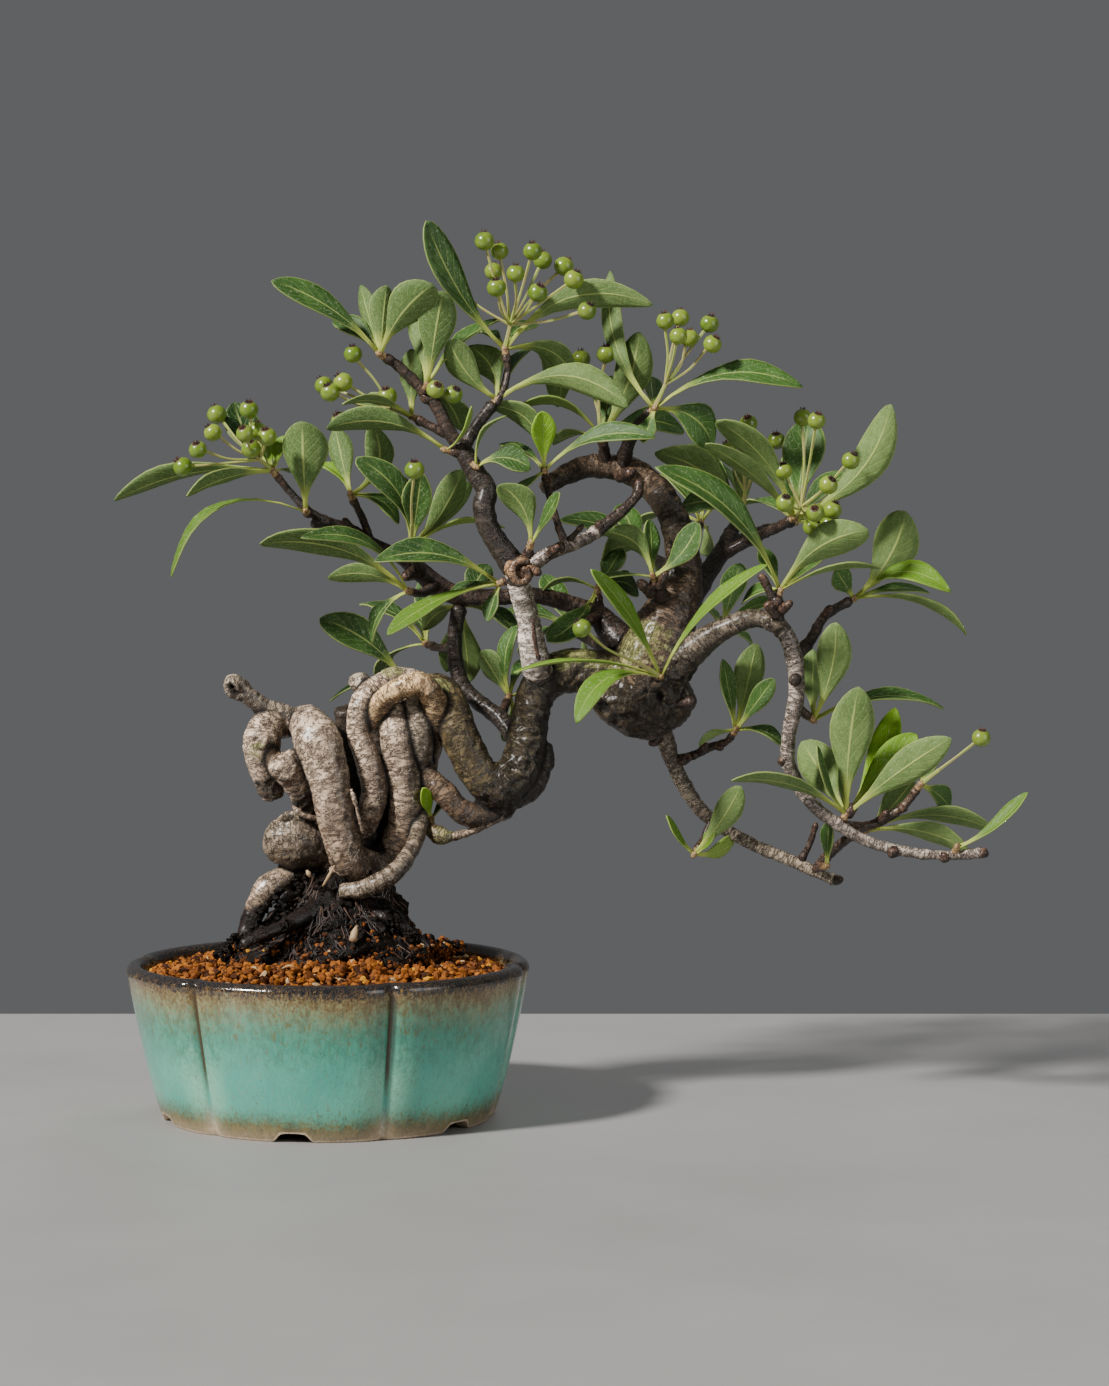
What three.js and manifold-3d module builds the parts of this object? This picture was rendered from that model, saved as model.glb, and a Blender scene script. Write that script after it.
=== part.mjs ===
// Pyracantha bonsai: a knotted, leaning little tree with narrow leaves and green berries, grown in a round
// glazed pot of six lobes that is filled with granular soil. Millimetres, +Z up, the tree's front faces -Y.
import * as THREE from "three";
import { mergeVertices } from "three/addons/utils/BufferGeometryUtils.js";
import Module from "manifold-3d";

const wasm = await Module();
wasm.setup();

// Driving dimensions.
const POT_RIM_RADIUS = 60.5;
const POT_FOOT_RADIUS = 50;
const POT_HEIGHT = 46.5;
const POT_FLOOR_TOP = 8;
const LOBES = 6;
const LOBE_CENTRE = THREE.MathUtils.degToRad(-98);
const GROOVE_DEPTH = 0.05;
const LOBE_STEPS = 5;
const DRAIN_RADIUS = 6;
const BERRY_RADIUS = 2.9;
const LEAF_THICKNESS = 0.8;
const PETIOLE_RADIUS = 0.42;
const STALK_RADIUS = 0.55;
const STALK_ROOT = 0.5;
const KNUCKLE_RADIUS = 1.4;
const LEAF_ROOT = 0.3;
const STEM_RADIUS = 1.15;
const STEM_LENGTH = 1.3;
const CLEARANCE = 0.3;
const SEAT_GAP = 0.33;

// The tree is laid out in a front view seen from EYE. A place in it is [across, down, back]: across and down
// are steps of VIEW_STEP on the upright plane through the pot's axis, counted from the view's top left
// corner, and back is how many millimetres it lies behind that plane along the line of sight.
const EYE = new THREE.Vector3(68, -967, 170);
const VIEW_STEP = 0.3;
const POT_AXIS_AT = { across: 328, down: 1113 };

function place([across, down, back]) {
  const onPlane = new THREE.Vector3(
    (across - POT_AXIS_AT.across) * VIEW_STEP,
    0,
    (POT_AXIS_AT.down - down) * VIEW_STEP,
  );
  return onPlane.sub(EYE).multiplyScalar((back - EYE.y) / -EYE.y).add(EYE);
}

// Solids from three.js shapes, and back.
function solidOf(geometry) {
  const bare = geometry.index ? geometry.toNonIndexed() : geometry.clone();
  bare.deleteAttribute("normal");
  bare.deleteAttribute("uv");
  const merged = mergeVertices(bare, 1e-4);
  return new wasm.Manifold(
    new wasm.Mesh({
      numProp: 3,
      vertProperties: merged.attributes.position.array,
      triVerts: new Uint32Array(merged.index.array),
    }),
  );
}

function geometryOf(solid) {
  const mesh = solid.getMesh();
  const geometry = new THREE.BufferGeometry();
  geometry.setAttribute("position", new THREE.BufferAttribute(new Float32Array(mesh.vertProperties), 3));
  geometry.setIndex(new THREE.BufferAttribute(new Uint32Array(mesh.triVerts), 1));
  const faceted = geometry.toNonIndexed();
  faceted.computeVertexNormals();
  return faceted;
}

// The joined solid, without the loose scraps and the sealed hollows that joining or cutting leaves.
function largestBody(solid) {
  return solid.decompose().reduce((most, body) => (body.volume() > most.volume() ? body : most));
}

function joined(solids) {
  return solids.reduce((all, solid) => all.add(solid));
}

// Boxes that meet, so that only neighbours are cut from each other.
function meets(a, b) {
  const [boxA, boxB] = [a.boundingBox(), b.boundingBox()];
  return [0, 1, 2].every((i) => boxA.min[i] <= boxB.max[i] && boxB.min[i] <= boxA.max[i]);
}

function clearOf(solid, neighbours) {
  const near = neighbours.filter((neighbour) => meets(solid, neighbour));
  return largestBody(near.reduce((left, neighbour) => left.subtract(neighbour), solid));
}

// A repeatable draw between 0 and 1 for whole numbers, so that each build is the same.
function draw(seed) {
  const wave = Math.sin(seed * 12.9898 + 4.1) * 43758.5453;
  return wave - Math.floor(wave);
}

// Materials.
const matt = (color, roughness) => new THREE.MeshStandardMaterial({ color, roughness, metalness: 0 });
const GLAZE = matt(0x63b5a3, 0.25);
const GRANULES = matt(0x8a5230, 0.95);
const ROOT_MASS = matt(0x2b211b, 0.95);
const BARK = matt(0x8d8072, 0.85);
const LEAF = matt(0x4c7034, 0.5);
const BERRY = matt(0x86a830, 0.35);
const SCREEN = matt(0x26282a, 0.6);

// Every mesh of the object is added here under its own name.
const bonsai = new THREE.Group();

function addPiece(name, solid, material) {
  const mesh = new THREE.Mesh(geometryOf(solid), material);
  mesh.name = name;
  bonsai.add(mesh);
}

// The pot and what fills it share one outline of six lobes, pinched to a groove between each two. The
// sectors of a lobe crowd towards its grooves. A sector gives its angle and the share of the full radius.
function lobeAt(sector) {
  const lobe = Math.floor(sector / LOBE_STEPS);
  const across = 2 * ((sector % LOBE_STEPS) / LOBE_STEPS) - 1;
  const crowded = Math.sign(across) * Math.abs(across) ** 0.5;
  const angle = LOBE_CENTRE + ((lobe + crowded / 2) * 2 * Math.PI) / LOBES;
  return [angle, 1 - GROOVE_DEPTH * Math.abs(crowded) ** 8];
}

// A lathed profile of [radius, height] pairs, turned to stand on +Z and pressed into lobes. Each point may
// then be shifted by its place in the profile and its turn round the axis.
function lobed(profile, shift) {
  const points = profile.map(([radius, height]) => new THREE.Vector2(radius, height));
  const lathe = new THREE.LatheGeometry(points, LOBES * LOBE_STEPS);
  const position = lathe.attributes.position;
  for (let i = 0; i < position.count; i++) {
    const [ring, sector] = [i % profile.length, Math.floor(i / profile.length) % (LOBES * LOBE_STEPS)];
    const [angle, factor] = lobeAt(sector);
    const point = new THREE.Vector3(profile[ring][0] * factor, 0, profile[ring][1]);
    point.applyAxisAngle(new THREE.Vector3(0, 0, 1), angle);
    if (shift) shift(point, ring, sector);
    position.setXYZ(i, point.x, point.y, point.z);
  }
  return solidOf(lathe);
}

// The pot: a flared wall with a rolled lip, a floor with a drain hole, and a foot ring cut into six feet.
const FOOT_RING_WIDTH = 4.5;
const FOOT_RING_HEIGHT = 3.8;
const FLOOR_CORNER_RADIUS = 44;
const WALL_CORNER = [47.5, 11];
const NOTCH_HALF_WIDTH = 5.8;
const NOTCH_HALF_TOP = 3.4;
const NOTCH_HEIGHT = 2.7;
const NOTCH_STEP = 0.6;
const NOTCH_INNER_RADIUS = 40;
const NOTCH_DEPTH = 16;

function pot() {
  const footInside = POT_FOOT_RADIUS - FOOT_RING_WIDTH;
  const body = lobed([
    [DRAIN_RADIUS, POT_FLOOR_TOP],
    [DRAIN_RADIUS, FOOT_RING_HEIGHT],
    [footInside - 2, FOOT_RING_HEIGHT],
    [footInside, 0],
    [POT_FOOT_RADIUS, 0],
    [POT_FOOT_RADIUS + 1.6, 5],
    [POT_FOOT_RADIUS + 6.3, 24],
    [POT_RIM_RADIUS, POT_HEIGHT - 2.5],
    [POT_RIM_RADIUS - 0.6, POT_HEIGHT - 0.5],
    [POT_RIM_RADIUS - 2.2, POT_HEIGHT],
    [POT_RIM_RADIUS - 4.2, POT_HEIGHT - 0.7],
    [POT_RIM_RADIUS - 5, POT_HEIGHT - 3],
    WALL_CORNER,
    [FLOOR_CORNER_RADIUS, POT_FLOOR_TOP],
    [DRAIN_RADIUS, POT_FLOOR_TOP],
  ]);
  const notch = new THREE.Shape();
  notch.moveTo(-NOTCH_HALF_WIDTH, -1);
  notch.lineTo(-NOTCH_HALF_WIDTH, NOTCH_STEP);
  notch.quadraticCurveTo(-NOTCH_HALF_TOP, NOTCH_STEP, -NOTCH_HALF_TOP, NOTCH_HEIGHT);
  notch.lineTo(NOTCH_HALF_TOP, NOTCH_HEIGHT);
  notch.quadraticCurveTo(NOTCH_HALF_TOP, NOTCH_STEP, NOTCH_HALF_WIDTH, NOTCH_STEP);
  notch.lineTo(NOTCH_HALF_WIDTH, -1);
  const cuts = [];
  for (let lobe = 0; lobe < LOBES; lobe++) {
    const turn = LOBE_CENTRE + Math.PI / 2 + (lobe * 2 * Math.PI) / LOBES;
    const cut = new THREE.ExtrudeGeometry(notch, {
      depth: NOTCH_DEPTH,
      bevelEnabled: false,
      curveSegments: 2,
    });
    cut.rotateX(Math.PI / 2).translate(0, -NOTCH_INNER_RADIUS, 0).rotateZ(turn);
    cuts.push(solidOf(cut));
  }
  return cuts.reduce((left, cut) => left.subtract(cut), body);
}

// The plastic screen that keeps soil from washing out of the drain hole.
const SCREEN_SIDE = 18;
const SCREEN_THICKNESS = 0.8;
const SCREEN_BAR = 1.8;

function screenPlate(swell) {
  const side = SCREEN_SIDE + 2 * swell;
  const plate = new THREE.BoxGeometry(side, side, SCREEN_THICKNESS + 2 * swell);
  return solidOf(plate.translate(0, 0, POT_FLOOR_TOP + CLEARANCE + SCREEN_THICKNESS / 2));
}

function drainScreen() {
  const pitch = SCREEN_SIDE / 4;
  let screen = screenPlate(0);
  for (let column = -1; column <= 1; column++) {
    for (let row = -1; row <= 1; row++) {
      const hole = new THREE.BoxGeometry(pitch - SCREEN_BAR, pitch - SCREEN_BAR, 5 * SCREEN_THICKNESS);
      screen = screen.subtract(solidOf(hole.translate(column * pitch, row * pitch, POT_FLOOR_TOP)));
    }
  }
  return screen;
}

// The wood. A limb is a list of stations, [across, down, back, radius], the radius in millimetres.
const KNOT = [
  // The finger at the front, down and round into the strand that climbs beside it.
  [[299, 716, 8, 4.2], [309, 722, 0, 6], [318, 738, -8, 7.2], [327, 768, -10, 6.2],
    [340, 833, -9, 5.6], [350, 858, -7, 5.6], [364, 867, 0, 5.2], [386, 856, 4, 5.4], [402, 830, 3, 5.3],
    [406, 795, 0, 5.1], [402, 762, -2, 5.1], [396, 732, -3, 5.1], [397, 712, 0, 4.6], [404, 702, 8, 3.6]],
  // The sinuous strand between them.
  [[438, 702, 4, 4], [425, 684, 4, 3.7], [400, 675, 3, 3.7], [378, 683, 0, 3.7], [362, 700, -3, 3.5],
    [358, 728, -4, 3.5], [368, 760, -5, 3.8], [374, 788, -4, 3.9], [368, 815, -2, 3.9], [358, 842, 2, 3.6]],
  // The pale arch that runs over the top and down the far side.
  [[372, 722, -2, 2.5], [382, 699, -6, 3.2], [402, 685, -9, 3.4], [422, 681, -9, 3.5], [434, 696, -6, 3.7],
    [434, 722, -1, 3.9], [428, 752, 5, 3.7], [420, 790, 10, 3.6]],
  [[410, 690, 2, 3], [418, 712, -3, 3.8], [421, 738, -3, 3.8], [419, 765, 1, 3.4], [413, 792, 6, 3]],
  // A knob behind the arch, and the snag with a broken end at the far left.
  [[376, 692, 6, 2.8], [359, 679, 3, 2.9], [352, 676, 1, 1.6]],
  [[308, 722, 4, 4], [286, 712, 2, 3.2], [264, 704, 0, 2.8], [247, 691, -2, 3], [234, 682, -3, 3.5],
    [226, 680, -4, 2.6]],
  // The left knobs, one ending in a cut face, and the bulb under them.
  [[290, 722, 5, 4.2], [268, 722, 0, 5.2], [262, 740, -3, 5.8], [262, 758, -4, 4.7], [267, 778, -3, 4],
    [273, 794, -1, 3.5]],
  [[279, 756, -9, 4.6], [285, 763, -8, 5], [297, 780, -6, 4.4], [306, 798, -3, 3.8], [314, 818, 2, 3.8]],
  [[335, 846, 8, 6], [315, 842, 2, 8], [292, 838, -2, 8.9], [273, 838, -3, 6.4], [264, 838, -3, 3]],
  // The strand that wraps under the knot, and the brown loop that runs on to the trunk.
  [[340, 889, -12, 2.5], [362, 887, -14, 2.9], [392, 872, -13, 2.9], [412, 846, -8, 2.6],
    [421, 815, 0, 2.3], [421, 785, 6, 2]],
  [[419, 748, 3, 3.2], [427, 772, 0, 3.3], [444, 790, -2, 3.5], [460, 808, -2, 3.7], [478, 813, 0, 4],
    [505, 800, 3, 5]],
];
const ROOTS = [
  [[364, 846, 4, 8], [352, 884, 2, 11], [340, 940, 0, 11]],
  [[318, 866, 6, 3.6], [292, 873, 0, 3.1], [270, 883, -4, 3], [257, 902, -5, 2.7], [248, 925, -6, 2.3],
    [241, 948, -8, 1.9]],
  [[336, 892, -4, 4], [310, 910, -13, 3], [280, 926, -20, 2.2], [258, 934, -23, 2], [240, 944, -25, 1.7]],
  [[366, 905, -8, 3], [392, 922, -12, 2.2], [416, 936, -12, 1.8], [430, 948, -12, 1.6]],
];
const TRUNK = [
  [[420, 690, 6, 5.6], [440, 691, 2, 5.8], [452, 712, -1, 5.7], [464, 742, -3, 5.6], [478, 770, -3, 5.8],
    [497, 785, -2, 6.4], [516, 770, -1, 6.4], [526, 742, 0, 6], [531, 710, 0, 5.7], [540, 683, 0, 6],
    [562, 669, 0, 6.7], [590, 669, 0, 7], [614, 676, 0, 8.6], [640, 685, 0, 9]],
  [[503, 797, 0, 5], [530, 780, 2, 4.8], [543, 757, 2, 3.6], [545, 740, 1, 2.2]],
  // The burl, and the trunk that climbs out of it and arches over to the left.
  [[602, 676, 0, 7.5], [620, 686, 0, 11], [645, 695, 0, 12.6], [668, 690, -1, 10.6], [687, 680, -2, 6.4]],
  [[641, 734, 0, 4.5], [641, 722, 0, 8.6], [643, 698, 0, 12.2], [649, 665, -1, 11.6], [660, 635, -1, 10],
    [672, 608, 0, 8.2], [680, 585, 2, 7], [683, 562, 3, 5.6], [680, 538, 4, 4.7],
    [672, 512, 5, 4.5], [657, 488, 6, 4.4], [635, 470, 7, 4.3], [608, 463, 8, 4], [580, 466, 7, 3.4],
    [556, 477, 5, 2.8], [543, 487, 3, 2.2]],
];
const BRANCHES = [
  // The upright branch on the trunk's bend, its two forks, and the arm that crosses under the arch.
  [[539, 668, -4, 4.8], [534, 650, -8, 4.2], [529, 620, -10, 3.4], [521, 588, -13, 3.4],
    [513, 562, -16, 3.8],
    [499, 542, -18, 3.3], [488, 522, -19, 3.2], [484, 503, -19, 3.3], [487, 488, -18, 3.2],
    [476, 470, -17, 3],
    [466, 452, -16, 2.9], [459, 438, -15, 2.3]],
  [[462, 446, -15, 2.3], [449, 428, -15, 2], [438, 405, -15, 1.9], [425, 390, -15, 1.7],
    [408, 372, -15, 1.6],
    [394, 360, -16, 1.4], [384, 354, -18, 1.1]],
  [[462, 448, -15, 2.2], [474, 428, -14, 1.8], [487, 410, -13, 1.7], [495, 400, -13, 1.5]],
  [[511, 566, -17, 2.6], [530, 562, -20, 2.6], [550, 550, -21, 2], [585, 536, -20, 1.9],
    [622, 508, -18, 1.6], [637, 492, -17, 1.4], [640, 476, -16, 1.1]],
  // The long branch to the left, and the dark one that props it from the trunk.
  [[632, 652, 4, 6], [612, 628, 8, 4.4], [598, 612, 11, 3.4], [576, 603, 13, 2.8], [540, 593, 15, 2.5],
    [490, 594, 17, 2.5], [458, 592, 18, 3], [436, 582, 18, 3.4], [418, 566, 16, 3],
    [398, 552, 12, 2], [376, 541, 8, 1.6], [352, 526, 4, 1.5], [326, 518, 0, 1.6], [308, 507, -4, 1.2],
    [290, 488, -7, 1.1], [276, 471, -9, 0.95]],
  [[515, 734, 3, 3], [500, 715, 7, 2.6], [480, 700, 11, 2.4], [464, 684, 14, 2.4], [456, 660, 16, 2.4],
    [455, 632, 17, 2.3], [460, 602, 18, 2.4]],
  // The long branch to the right, its back arm and its end twig.
  [[668, 668, -4, 7], [686, 652, -6, 5], [704, 638, -8, 4.1], [728, 624, -11, 3.2], [755, 615, -13, 2.7],
    [778, 622, -15, 2.7], [792, 645, -16, 2.5], [797, 690, -15, 2.4], [789, 735, -14, 2.1],
    [790, 764, -13, 2.1], [815, 803, -12, 2], [838, 821, -12, 1.8], [862, 836, -12, 1.7],
    [900, 848, -13, 1.6], [950, 853, -15, 1.4], [986, 850, -16, 1.5]],
  [[793, 656, -15, 2], [810, 638, -9, 1.7], [824, 614, 0, 1.4], [840, 603, 5, 1.4], [851, 597, 7, 1.2]],
  [[845, 823, -11, 1.6], [865, 824, -6, 1.5], [885, 817, -4, 1.4], [905, 803, -5, 1.3],
    [919, 785, -6, 1.1]],
  // The low branch to the right, with a cut end.
  [[655, 712, 4, 6], [664, 732, 5, 2.9], [672, 756, 7, 2.4], [686, 785, 9, 2.3], [706, 812, 10, 2.1],
    [742, 836, 10, 1.9], [800, 862, 7, 1.8], [838, 879, 5, 1.5]],
  // The branches behind the trunk's top.
  [[690, 594, 4, 4], [706, 572, 10, 3], [722, 548, 18, 2.6], [732, 528, 24, 2.2], [740, 516, 26, 1.5]],
  [[720, 552, 17, 2], [750, 537, 14, 1.7], [778, 524, 4, 1.5], [792, 516, -2, 1.2]],
  [[724, 544, 19, 1.8], [760, 528, 36, 1.5], [793, 520, 50, 1.1]],
  [[678, 577, 6, 2.6], [662, 560, 22, 1.8], [645, 550, 33, 1.2]],
  [[684, 580, 8, 2.8], [690, 545, 34, 2], [700, 521, 51, 1.2]],
  [[662, 660, 8, 3.4], [690, 640, 34, 2.2], [720, 626, 54, 1.3]],
  [[625, 656, 8, 3.4], [600, 642, 34, 2], [575, 629, 52, 1.3]],
];
const TWIGS = [
  [[496, 402, -13, 1.2], [505, 385, -13, 0.9], [508, 368, -12, 0.9], [506, 351, -12, 1.2]],
  [[452, 434, -15, 1.5], [432, 424, -14, 1.3], [416, 416, -13, 1.1]],
  [[463, 450, -16, 2], [454, 449, -17, 1.3], [450, 448, -17, 1]],
  [[467, 457, -16, 2], [474, 462, -19, 1.2]],
  [[425, 391, -15, 1.5], [427, 385, -18, 1.1]],
  [[655, 670, -6, 3], [660, 673, -14, 1.3]],
  [[566, 543, -20, 1.4], [557, 518, -19, 1.1], [551, 498, -17, 1.1], [547, 482, -14, 1.1],
    [545, 471, -12, 0.9]],
  [[566, 541, -20, 1], [583, 522, -26, 0.6]],
  [[522, 562, -20, 1.8], [528, 551, -21, 1.4], [530, 544, -22, 1]],
  [[508, 566, -19, 3.2], [522, 568, -22, 3.5], [536, 568, -22, 2.2]],
  [[605, 465, 8, 2.4], [604, 446, 3, 1.6], [602, 437, 0, 1.1]],
  [[622, 466, 7, 2.6], [628, 442, 0, 2], [640, 420, -8, 1.7], [652, 408, -13, 1.3]],
  [[330, 519, 0, 1.5], [312, 521, -3, 1.3]],
  [[372, 541, 8, 1.3], [364, 518, 6, 1.2], [353, 495, 3, 1]],
  [[420, 570, 14, 1.7], [415, 556, 5, 1.2], [412, 546, -2, 0.9]],
  [[436, 583, 17, 2], [420, 590, 5, 1.3], [410, 588, -3, 0.9]],
  [[516, 574, -14, 1.7], [503, 579, -13, 1.1]],
  [[458, 608, 18, 1.6], [461, 603, 25, 1]],
  [[456, 642, 17, 1.6], [441, 645, 30, 1.3], [427, 641, 41, 0.9]],
  [[414, 692, 6, 2.2], [407, 681, 13, 1.1]],
  [[500, 716, 8, 1.6], [508, 696, 13, 1]],
  [[778, 622, -15, 2.3], [776, 602, -16, 2.1], [779, 591, -16, 1.2]],
  [[775, 600, -16, 1.5], [766, 581, -18, 1.1], [760, 571, -19, 0.9]],
  [[797, 704, -14, 1.6], [807, 712, -13, 1.2], [811, 715, -12, 0.9]],
  [[790, 756, -13, 1.4], [779, 760, -14, 1]],
  [[794, 676, -17, 1.5], [797, 677, -20, 1.3]],
  [[838, 823, -12, 1.6], [845, 815, -12, 1.1]],
  [[955, 853, -15, 1.3], [957, 848, -16, 0.9]],
  [[676, 757, 7, 1.6], [692, 753, 5, 1.3], [712, 744, 3, 1.3], [728, 738, 2, 1], [734, 730, 2, 0.9]],
  [[712, 818, 9, 1.2], [704, 836, 7, 1], [697, 848, 5, 1]],
  [[815, 869, 6, 1.5], [834, 848, 2, 1.5], [852, 834, -2, 1.4], [864, 829, -4, 1]],
  [[815, 867, 6, 1.3], [822, 865, 1, 1.1], [826, 864, -2, 0.9]],
  [[800, 862, 7, 1.2], [812, 838, 6, 0.9], [817, 820, 5, 0.7]],
  [[600, 616, 11, 2], [599, 599, 13, 1.3], [598, 590, 14, 0.9]],
  [[665, 702, -6, 1.8], [695, 698, -12, 1.2]],
  [[668, 602, -3, 3.2], [658, 586, -9, 2], [654, 576, -12, 1.1]],
  [[503, 812, 0, 1.4], [478, 826, -1, 1.1], [455, 832, -1, 1.4], [440, 831, 0, 2.4], [433, 829, 1, 2],
    [431, 820, 2, 0.9]],
  [[309, 512, -3, 1.1], [307, 509, -7, 0.9]],
];
const LIMB_KINDS = [
  { limbs: KNOT, sides: 6 },
  { limbs: ROOTS, sides: 5 },
  { limbs: TRUNK, sides: 7 },
  { limbs: BRANCHES, sides: 5 },
  { limbs: TWIGS, sides: 3 },
];

const pathOf = (stations) => new THREE.CatmullRomCurve3(stations.map(place), false, "centripetal");

// A round limb: a cylinder of unit radius laid along the smooth path through its stations.
function limb(stations, sides, swell = 0) {
  const path = pathOf(stations);
  const steps = stations.length - 1;
  const rings = [];
  let across = new THREE.Vector3(0, 1, 0);
  for (let i = 0; i <= steps; i++) {
    const tangent = path.getTangent(i / steps);
    across = across.clone().addScaledVector(tangent, -across.dot(tangent)).normalize();
    const centre = path.getPoint(i / steps);
    centre.addScaledVector(tangent, i === 0 ? -swell : i === steps ? swell : 0);
    rings.push({ centre, across, other: across.clone().cross(tangent), radius: stations[i][3] + swell });
  }
  const tube = new THREE.CylinderGeometry(1, 1, 1, sides, steps);
  const position = tube.attributes.position;
  for (let i = 0; i < position.count; i++) {
    const ring = rings[Math.round((position.getY(i) + 0.5) * steps)];
    const point = ring.centre.clone();
    point.addScaledVector(ring.across, position.getX(i) * ring.radius);
    point.addScaledVector(ring.other, position.getZ(i) * ring.radius);
    position.setXYZ(i, point.x, point.y, point.z);
  }
  return solidOf(tube);
}

// The old root mass under the knot: dark humus bound by fine roots, heaped and lumpy. It leans to the right
// as it rises, and it is less deep than wide.
const MASS_FOOT = 30;
const MASS_TOP = 74;
const MASS_SIDES = 13;
const MASS_LEAN = 0.12;
const MASS_DEPTH_SHARE = 0.86;

function rootMass(swell = 0) {
  const slope = [[24, MASS_FOOT - swell], [31, 40], [28, 51], [20, 59], [14.5, 66], [11, MASS_TOP - 2]];
  const points = slope.map(([radius, height]) => new THREE.Vector2(radius + swell, height));
  points.unshift(new THREE.Vector2(0, MASS_FOOT - swell));
  points.push(new THREE.Vector2(0, MASS_TOP + swell));
  const lathe = new THREE.LatheGeometry(points, MASS_SIDES).rotateX(Math.PI / 2);
  const position = lathe.attributes.position;
  for (let i = 0; i < position.count; i++) {
    const [x, y, z] = [position.getX(i), position.getY(i), position.getZ(i)];
    const angle = Math.atan2(y, x);
    const lump = 1 + 0.09 * Math.sin(3 * angle + z * 0.2) + 0.05 * Math.sin(7 * angle - z * 0.5);
    const lean = Math.max(0, z - MASS_FOOT) * MASS_LEAN;
    position.setXY(i, x * lump + lean, y * lump * MASS_DEPTH_SHARE);
  }
  return solidOf(lathe);
}

// The soil fills the pot to just under its lip. Its top is granular: rings of points that are each lifted,
// sunk and shifted a little, so that the faces between them stand as angular granules, larger than life.
const SOIL_FOOT_RADIUS = FLOOR_CORNER_RADIUS - 0.6;
const SOIL_CORNER = [WALL_CORNER[0] - 0.7, WALL_CORNER[1] + CLEARANCE];
const SOIL_EDGE_RADIUS = POT_RIM_RADIUS - 6;
const SOIL_EDGE_HEIGHT = 42;
const SOIL_RISE = 7;
const SOIL_RINGS = 6;
const SOIL_CORE_RADIUS = 20;
const GRANULE_LIFT = 2.2;
const GRANULE_SHIFT = 1.4;

function soilHeight(radius) {
  return SOIL_EDGE_HEIGHT + SOIL_RISE * (1 - (radius / SOIL_EDGE_RADIUS) ** 2);
}

function soil() {
  const floor = POT_FLOOR_TOP + CLEARANCE;
  const profile = [[0, floor], [SOIL_FOOT_RADIUS, floor], SOIL_CORNER];
  const firstRing = profile.length;
  for (let ring = 0; ring <= SOIL_RINGS; ring++) {
    const radius = THREE.MathUtils.lerp(SOIL_EDGE_RADIUS, SOIL_CORE_RADIUS, ring / SOIL_RINGS);
    profile.push([radius, soilHeight(radius)]);
  }
  profile.push([0, soilHeight(0)]);
  return lobed(profile, (point, ring, sector) => {
    if (ring <= firstRing || ring === profile.length - 1) return;
    const seed = ring * 57 + sector;
    point.x += (draw(seed) - 0.5) * 2 * GRANULE_SHIFT;
    point.y += (draw(seed + 0.3) - 0.5) * 2 * GRANULE_SHIFT;
    point.z += (draw(seed + 0.6) - 0.3) * GRANULE_LIFT * 2;
  });
}

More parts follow.
